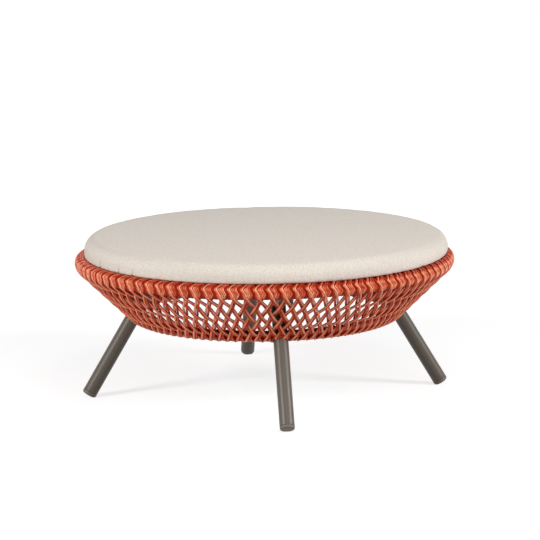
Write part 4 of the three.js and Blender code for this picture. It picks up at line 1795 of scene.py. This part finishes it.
        moved = coordinates(piece)
        radius = np.hypot(moved[:, 0], moved[:, 1])
        bins = nearest // self.bin_steps
        held = np.bincount(bins, minlength=self.fit_bins)
        centre = (np.arange(self.fit_bins) + 0.5) * self.bin_steps
        shift = np.zeros((len(moved), 2))
        for i, now in enumerate((radius, moved[:, 2])):
            total = np.bincount(bins, weights=goal[nearest, i] - now, minlength=self.fit_bins)
            offset = total / np.maximum(held, 1)
            shift[:, i] = np.interp(nearest, centre[held > 0], offset[held > 0])
        even = np.where(radius > 20 * MM, goal[nearest, 0], radius)
        new_radius = even + (radius + shift[:, 0] - even) * self.unevenness
        even_height = goal[nearest, 1]
        new_height = even_height + (moved[:, 2] + shift[:, 1] - even_height) * self.unevenness
        moved[:, :2] *= (new_radius / np.maximum(radius, 1e-6))[:, None]
        rim_top = self.rings.rim_height + self.rings.rim_bound
        free = rising(new_height, rim_top - 6 * MM, 12 * MM)
        free = free * free * (3 - 2 * free) * self.lean
        moved[:, 0] += free * math.cos(self.lean_turn)
        moved[:, 1] += free * math.sin(self.lean_turn)
        moved[:, 2] = new_height
        piece.data.vertices.foreach_set("co", moved.ravel())
        piece.data.update()

    def _seat(self, piece: bpy.types.Object, base: float) -> None:
        """Rests the cover on the deck and against the rim, and opens it over the mesh base.

        Args:
            piece: The cover.
            base: The height of its base.
        """
        r = self.rings
        work = bmesh.new()
        work.from_mesh(piece.data)
        clear = r.rim_bound + self.rim_gap
        for v in work.verts:
            radius = math.hypot(v.co.x, v.co.y)
            arm = Vector((radius - r.rim_radius, v.co.z - r.rim_height))
            if arm.length < clear and arm.length > 1e-6:
                arm = arm * (clear / arm.length)
                scale = (r.rim_radius + arm.x) / radius
                v.co.x *= scale
                v.co.y *= scale
                v.co.z = r.rim_height + arm.y
                radius *= scale
            if v.co.z < base + 6 * MM and radius < self.hem_radius + 4 * MM:
                share = min(1.0, max(0.0, (self.hem_radius - 1 * MM - radius) / (4 * MM)))
                v.co.z = max(v.co.z, base + 2.9 * MM * share)
            v.co.z = max(v.co.z, base)
        gone = [
            f
            for f in work.faces
            if all(math.hypot(v.co.x, v.co.y) < self.mouth and v.co.z < base + 8 * MM for v in f.verts)
        ]
        bmesh.ops.delete(work, geom=gone, context="FACES")
        work.to_mesh(piece.data)
        work.free()

    def _threads(self, piece: bpy.types.Object, folded: np.ndarray) -> None:
        """Lays the canvas's threads as one flat round of cloth, drawn over the edge.

        Args:
            piece: The cover.
            folded: How deep in a fold each point lies, from 0 to 1.
        """
        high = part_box("cushion_cover")[1]
        edge_r, edge_z = high.x - self.edge_radius, high.z - self.crown - self.edge_radius
        co = coordinates(piece)
        radius = np.hypot(co[:, 0], co[:, 1])
        bent = np.arctan2(np.maximum(radius - edge_r, 0.0), co[:, 2] - edge_z)
        reach = np.minimum(radius, edge_r) + self.edge_radius * bent
        reach = np.where((radius < edge_r) & (co[:, 2] < edge_z), reach + 2 * (edge_r - radius), reach)
        share = reach / np.maximum(radius, 1e-6)
        grain = np.column_stack([co[:, 0] * share, co[:, 1] * share, folded])
        layer = piece.data.attributes.new("grain", "FLOAT_VECTOR", "POINT")
        layer.data.foreach_set("vector", grain.astype(np.float32).ravel())

    def _creases(self) -> list[Fold]:
        """Lists the deepest folds, then the small puckers, drawn by chance."""
        chance = np.random.default_rng(self.seed)
        folds = [Fold(math.radians(turn), 2.6 * MM, tall * MM, 1.8 * MM, 0.1) for turn, tall in self.folds]
        for _ in range(self.puckers):
            turn = chance.uniform(-math.pi, math.pi)
            width = chance.uniform(2.5, 5.5) * MM
            rise = chance.uniform(10, 26) * MM
            depth = chance.uniform(0.25, 0.8) * MM
            folds.append(Fold(turn, width, rise, depth, chance.uniform(-0.25, 0.25)))
        return folds

    def _pucker(self, piece: bpy.types.Object) -> np.ndarray:
        """Draws short tension folds up from the seam that hides behind the rim.

        Args:
            piece: The cover.

        Returns:
            How deep in one of the deepest folds each point lies, from 0 to 1.
        """
        mesh = piece.data
        co = coordinates(piece)
        normal = np.empty(len(co) * 3)
        mesh.vertices.foreach_get("normal", normal)
        turn = np.arctan2(co[:, 1], co[:, 0])
        radius = np.hypot(co[:, 0], co[:, 1])
        above = co[:, 2] - (self.rings.rim_height + self.seam_height)
        depth, folded = np.zeros(len(co)), np.zeros(len(co))
        for i, fold in enumerate(self._creases()):
            aside, share = fold.measure(turn, radius, above)
            depth += fold.depth * np.exp(-((aside / fold.width) ** 2)) * (1 - share) ** 1.5
            # painted shade: each of the deepest folds carries a dark band that fades up the fold
            if i < len(self.folds):
                folded = np.maximum(folded, np.exp(-((aside / self.fold_shade) ** 2)) * (1 - share) ** 0.7)
        outer = (above < 40 * MM) & (radius > 360 * MM)
        shift = np.where(outer, depth, 0.0)
        mesh.vertices.foreach_set("co", (co - normal.reshape(-1, 3) * shift[:, None]).ravel())
        mesh.update()
        return np.where(outer, folded, 0.0)

    def build(self) -> None:
        """Builds the cover, foam, base, zip and slider."""
        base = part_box("cushion_cover")[0].z
        drawn = self.profile(self.start_inset, base + self.skin)
        cover = self._remeshed(self._closed("cushion_canvas", drawn))
        before = coordinates(cover)
        self._swell(cover, base)
        self._fit(cover, drawn, self.profile(self.skin, base + self.skin), before)
        self._seat(cover, base + 0.2 * MM)
        fine = cover.modifiers.new("fine", "SUBSURF")
        fine.levels = fine.render_levels = 1
        smooth = bpy.data.meshes.new_from_object(cover.evaluated_get(bpy.context.evaluated_depsgraph_get()))
        cover.modifiers.remove(fine)
        cover.data = smooth
        self._threads(cover, self._pucker(cover))
        cover.data.shade_smooth()
        dress(cover, CANVAS, "cushion", "cushion_fabric", "cushion_cover")

        inner = self.profile(self.start_inset + self.foam_inset, base + self.foam_base)
        foam = self._closed("cushion_core", inner)
        dress(foam, FOAM, "cushion", "cushion_foam", "cushion_foam")
        self._base(base)
        self._hem(base)
        self._tape()
        self._chain()
        self._slider()

    def _base(self, base: float) -> None:
        """Builds the two halves of the mesh base, each with a notch for the zip.

        Args:
            base: The height of the cushion's base.
        """
        reach, gap, corner = self.hem_radius - 0.5 * MM, 0.3 * MM, 3 * MM
        slot, half_zip = self.zip_slot, self.zip_opening
        first = math.asin(gap / reach)
        arc = np.linspace(first, math.pi - first, 120)
        outline = [(reach * math.cos(t), reach * math.sin(t)) for t in arc]
        outline += [(-half_zip, gap), (-half_zip, slot - corner), (-half_zip + corner, slot)]
        outline += [(half_zip - corner, slot), (half_zip, slot - corner), (half_zip, gap)]
        flat = np.array([(x, y, base) for x, y in outline])
        for word, turn in (("back", 0.0), ("front", math.pi)):
            shape = Shape()
            shape.fan(about_z(flat, turn), Vector((0, 0, self.base_cloth)))
            piece = shape.build(f"mesh_base_{word}", 30.0)
            dress(piece, MESH_CLOTH, "cushion", "base_cloth", f"cushion_base_{word}")

    def _hem(self, base: float) -> None:
        """Sews the cover's hem to the mesh base with two rows of stitches.

        Args:
            base: The height of the cushion's base.
        """
        seam = Shape()
        half, section = np.array([0.55 * MM, 0.35 * MM]), round_section(6)
        high, low = base + 0.35 * MM, base + 0.05 * MM
        for radius, shift in ((self.hem_radius + 4 * MM, 0.0), (self.hem_radius + 9 * MM, 0.5)):
            count = int(math.tau * radius / (5.5 * MM))
            spread = 1.9 * MM / radius
            flat = np.array([[radius, high], [radius, low], [radius, high]])
            for k in range(count):
                turn = (k + shift) * math.tau / count + spread * np.array([-1, 0, 1])
                sweep(seam, revolve(flat, turn), np.tile(-UP, (3, 1)), half, section, 0.6)
        dress(seam.build("hem_stitching", 60.0), CANVAS, "cushion", "cushion_fabric")

    def _tape(self) -> None:
        """Builds the zip's two cloth tapes."""
        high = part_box("zip_tape")[1]
        tape = Shape()
        half_length = high.x - 0.5 * MM
        x = np.linspace(-half_length, half_length, 120)
        half, section = np.array([9.6 * MM, 0.45 * MM]), flat_oval(10, 5.0)
        for side in (-1, 1):
            y, z = np.full(len(x), side * 10.2 * MM), np.full(len(x), high.z - 0.5 * MM)
            path = np.stack([x, y, z], axis=-1)
            sweep(tape, path, np.tile(UP, (len(x), 1)), half, section, 0.5)
        dress(tape.build("zip_cloth_tape", 50.0), CANVAS, "cushion", "zip_plastic")

    def _chain(self) -> None:
        """Builds the zip's teeth, which mesh by turns from both sides, and a stop at each end."""
        low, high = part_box("zip_tape")
        chain, pitch = low.z + 0.15 * MM, 3 * MM
        tooth = ((-0.9, -0.9), (0.9, -0.9), (1.25, 1.2), (1.25, 2.9), (-1.25, 2.9), (-1.25, 1.2))  # mm
        teeth = Shape()
        count = int((2 * (high.x - 12 * MM)) / pitch)
        for k in range(count):
            side = 1 if k % 2 else -1
            middle = -count * pitch / 2 + (k + 0.5) * pitch
            outline = np.array([(middle + x * MM, side * y * MM, chain) for x, y in tooth])
            teeth.fan(outline, Vector((0, 0, 1.9 * MM)))
        for end in (-1, 1):
            near, far, half = end * (high.x - 11.6 * MM), end * (high.x - 6.5 * MM), 4.6 * MM
            corners = ((near, -half), (far, -half), (far, half), (near, half))
            teeth.fan(np.array([(x, y, chain) for x, y in corners]), Vector((0, 0, 2 * MM)))
        dress(teeth.build("zip_teeth", 40.0), ACETAL, "cushion", "zip_plastic", "zip_tape")

    def _slider(self) -> None:
        """Builds the zip's slider: a waisted plate, two walls and the pull tab below."""
        low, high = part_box("zip_slider")
        middle = (low.x + high.x) / 2
        length, width = (high.x - low.x) / 2 - 0.1 * MM, (high.y - low.y) / 2 - 0.1 * MM
        plate = ((-1, 0.62), (-0.5, 1.0), (0.6, 1.0), (1, 0.8))  # shares of half the length and width
        sides = [(x, -y) for x, y in plate] + [(x, y) for x, y in reversed(plate)]
        floor = low.z + 0.9 * MM
        slider = Shape()
        slider.fan(
            np.array([(middle + length * x, width * y, floor) for x, y in sides]), Vector((0, 0, 0.5 * MM))
        )
        back, front, top = middle - length * 0.5, middle + length * 0.6, low.z + 1.4 * MM
        for side in (-1, 1):
            outer, inner = side * width * 0.99, side * (width - 1.4 * MM)
            corners = ((back, outer), (front, outer), (front, inner), (back, inner))
            wall = np.array([(x, y, top) for x, y in corners])
            slider.fan(wall, Vector((0, 0, high.z - low.z - 1.5 * MM)))
        tab = ((-6.5, 1.8), (-5.5, 2.6), (4.5, 2.0), (6.3, 1.2))  # mm
        sides = [(x, -y) for x, y in tab] + [(x, y) for x, y in reversed(tab)]
        hung = low.z + 0.05 * MM
        slider.fan(
            np.array([(middle + x * MM, y * MM, hung) for x, y in sides]), Vector((0, 0, 0.75 * MM))
        )
        dress(slider.build("zip_slider_and_tab", 35.0), ACETAL, "slider", "zip_plastic", "zip_slider")


@dataclass(frozen=True)
class StudioPaper(Finish):
    """Seamless background paper.

    To the eye: plain white with a soft shadow. The paper itself is grey, so that little light comes back up
    to the undersides, and what the camera and gloss see of it is lifted to white.
    """

    name: str = "studio_paper"
    colour: str = "#bcbcbc"
    lift: float = 0.72
    far_lift: float = 0.95  # away from the lamps

    def shade(self, shader: Shader) -> bpy.types.NodeSocket:
        """Builds the paper, lit by the lamps and lifted for the camera.

        Args:
            shader: The tree that takes the nodes.

        Returns:
            The surface's socket.
        """
        paper = shader.add("BsdfDiffuse", {"Color": linear(self.colour)})
        seen = shader.looked_at()
        place = shader.add("TexCoord").outputs["Object"]
        away = shader.add("VectorMath", {0: place}, operation="LENGTH").outputs["Value"]
        limits = {"From Min": 0.9, "From Max": 3.0, "To Min": self.lift, "To Max": self.far_lift}
        lift = shader.add("MapRange", {"Value": away, **limits})
        power = shader.add("Math", {0: seen, 1: lift.outputs[0]}, operation="MULTIPLY")
        glow = shader.add("Emission", {"Color": (1, 1, 1, 1), "Strength": power.outputs[0]})
        return shader.add("AddShader", {0: paper.outputs[0], 1: glow.outputs[0]}).outputs[0]


@dataclass(frozen=True)
class SoftBox:
    """One rectangular studio lamp, in metres and watts."""

    name: str
    place: tuple[float, float, float]
    aim: tuple[float, float, float]
    size: tuple[float, float]
    power: float

    def hang(self) -> None:
        """Hangs the lamp in the scene, turned to what it lights."""
        data = bpy.data.lights.new(self.name, "AREA")
        data.shape = "RECTANGLE"
        data.size, data.size_y = self.size
        data.energy = self.power
        lamp = bpy.data.objects.new(self.name, data)
        lamp.location = self.place
        lamp.rotation_euler = (Vector(self.aim) - Vector(self.place)).to_track_quat("-Z", "Y").to_euler()
        bpy.context.scene.collection.objects.link(lamp)


@dataclass
class Studio:
    """Floor, soft lamps, pale surroundings and the camera at the photograph's place."""

    camera_place: tuple[float, float, float] = (-0.6136, -5.5937, 1.3021)
    yaw: float = 0.0021
    pitch: float = 0.1808
    roll: float = -0.0125
    turn: float = math.radians(-6.26)
    sensor: float = 36.0  # its width, in mm
    lens: float = 171.8
    view_end: float = 200.0
    ambient: float = 0.12
    floor_reach: float = 40.0
    floor_drop: float = 0.2 * MM  # under the glides' soles
    lamps: tuple[SoftBox, ...] = (
        SoftBox("overhead", (0.2, -0.9, 2.1), (0, -0.1, 0.2), (0.7, 0.35), 4.5),
        SoftBox("front", (0.2, -2.4, 2.0), (0, 0, 0.2), (1.8, 0.8), 15.0),
        SoftBox("front_left", (-3.1, -1.8, 1.8), (0, 0, 0.25), (1.0, 1.2), 90.0),
        SoftBox("front_right", (3.2, -1.6, 1.7), (0, 0, 0.25), (1.0, 1.2), 91.0),
        SoftBox("back", (0.3, 3.6, 1.2), (0, 0, 0.2), (2.4, 0.8), 15.0),
    )

    def build(self) -> None:
        """Builds the floor, lamps, world and camera."""
        self._floor()
        self._world()
        for lamp in self.lamps:
            lamp.hang()
        self._camera()
        bpy.context.scene.view_settings.view_transform = "Standard"

    def _floor(self) -> None:
        """Lays the sheet of paper that the footstool stands on."""
        floor = Shape()
        ticks = np.linspace(-self.floor_reach, self.floor_reach, 9)
        x, y = np.meshgrid(ticks, ticks, indexing="ij")
        floor.grid(np.stack([x, y, np.full(x.shape, -self.floor_drop)], axis=-1), ring=False)
        sheet = floor.build("studio_floor")
        sheet.data.materials.append(StudioPaper().material())

    def _world(self) -> None:
        """Makes the surroundings: dim as a light, and white to the camera, gloss and glass."""
        world = bpy.data.worlds.new("studio")
        bpy.context.scene.world = world
        shader = Shader(world)
        limits = {"To Min": self.ambient, "To Max": 1.0}
        power = shader.add("MapRange", {"Value": shader.looked_at(), **limits})
        back = shader.add("Background", {"Color": (1, 1, 1, 1), "Strength": power.outputs[0]})
        shader.add("OutputWorld", {"Surface": back.outputs[0]})

    def _camera(self) -> None:
        """Sets up the camera."""
        data = bpy.data.cameras.new("photo_camera")
        data.sensor_width = self.sensor
        data.lens = self.lens
        data.clip_end = self.view_end
        camera = bpy.data.objects.new("photo_camera", data)
        level = math.cos(self.pitch)
        forward = np.array([math.sin(self.yaw) * level, math.cos(self.yaw) * level, -math.sin(self.pitch)])
        right = np.array([math.cos(self.yaw), -math.sin(self.yaw), 0.0])
        up = np.cross(right, forward)
        c, s = math.cos(self.roll), math.sin(self.roll)
        across, upright = c * right + s * up, -s * right + c * up
        axes = about_z(np.stack([across, upright, -forward]), self.turn)
        matrix = Matrix([[*axes[:, i], self.camera_place[i]] for i in range(3)] + [[0, 0, 0, 1]])
        camera.matrix_world = matrix
        bpy.context.scene.collection.objects.link(camera)
        bpy.context.scene.camera = camera


def main() -> None:
    """Builds the footstool on its frame, sub-assembly by sub-assembly, and reports each piece."""
    logging.basicConfig(level=logging.INFO, format="%(name)s: %(message)s")
    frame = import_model()
    rings = Rings.from_frame(frame["nodes"])
    legs = LegLine()
    log.info("rings: %s", rings)

    Basket(rings, legs).build()
    Rim(rings).build()
    LowerHoop(rings, legs).build()
    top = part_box("leg_right")[1].z
    for side in Side:
        Leg(legs, side, top).build()
    Deck().build()
    Webbing(rings).build()
    Cushion(rings).build()
    Studio().build()


if __name__ == "__main__":
    main()
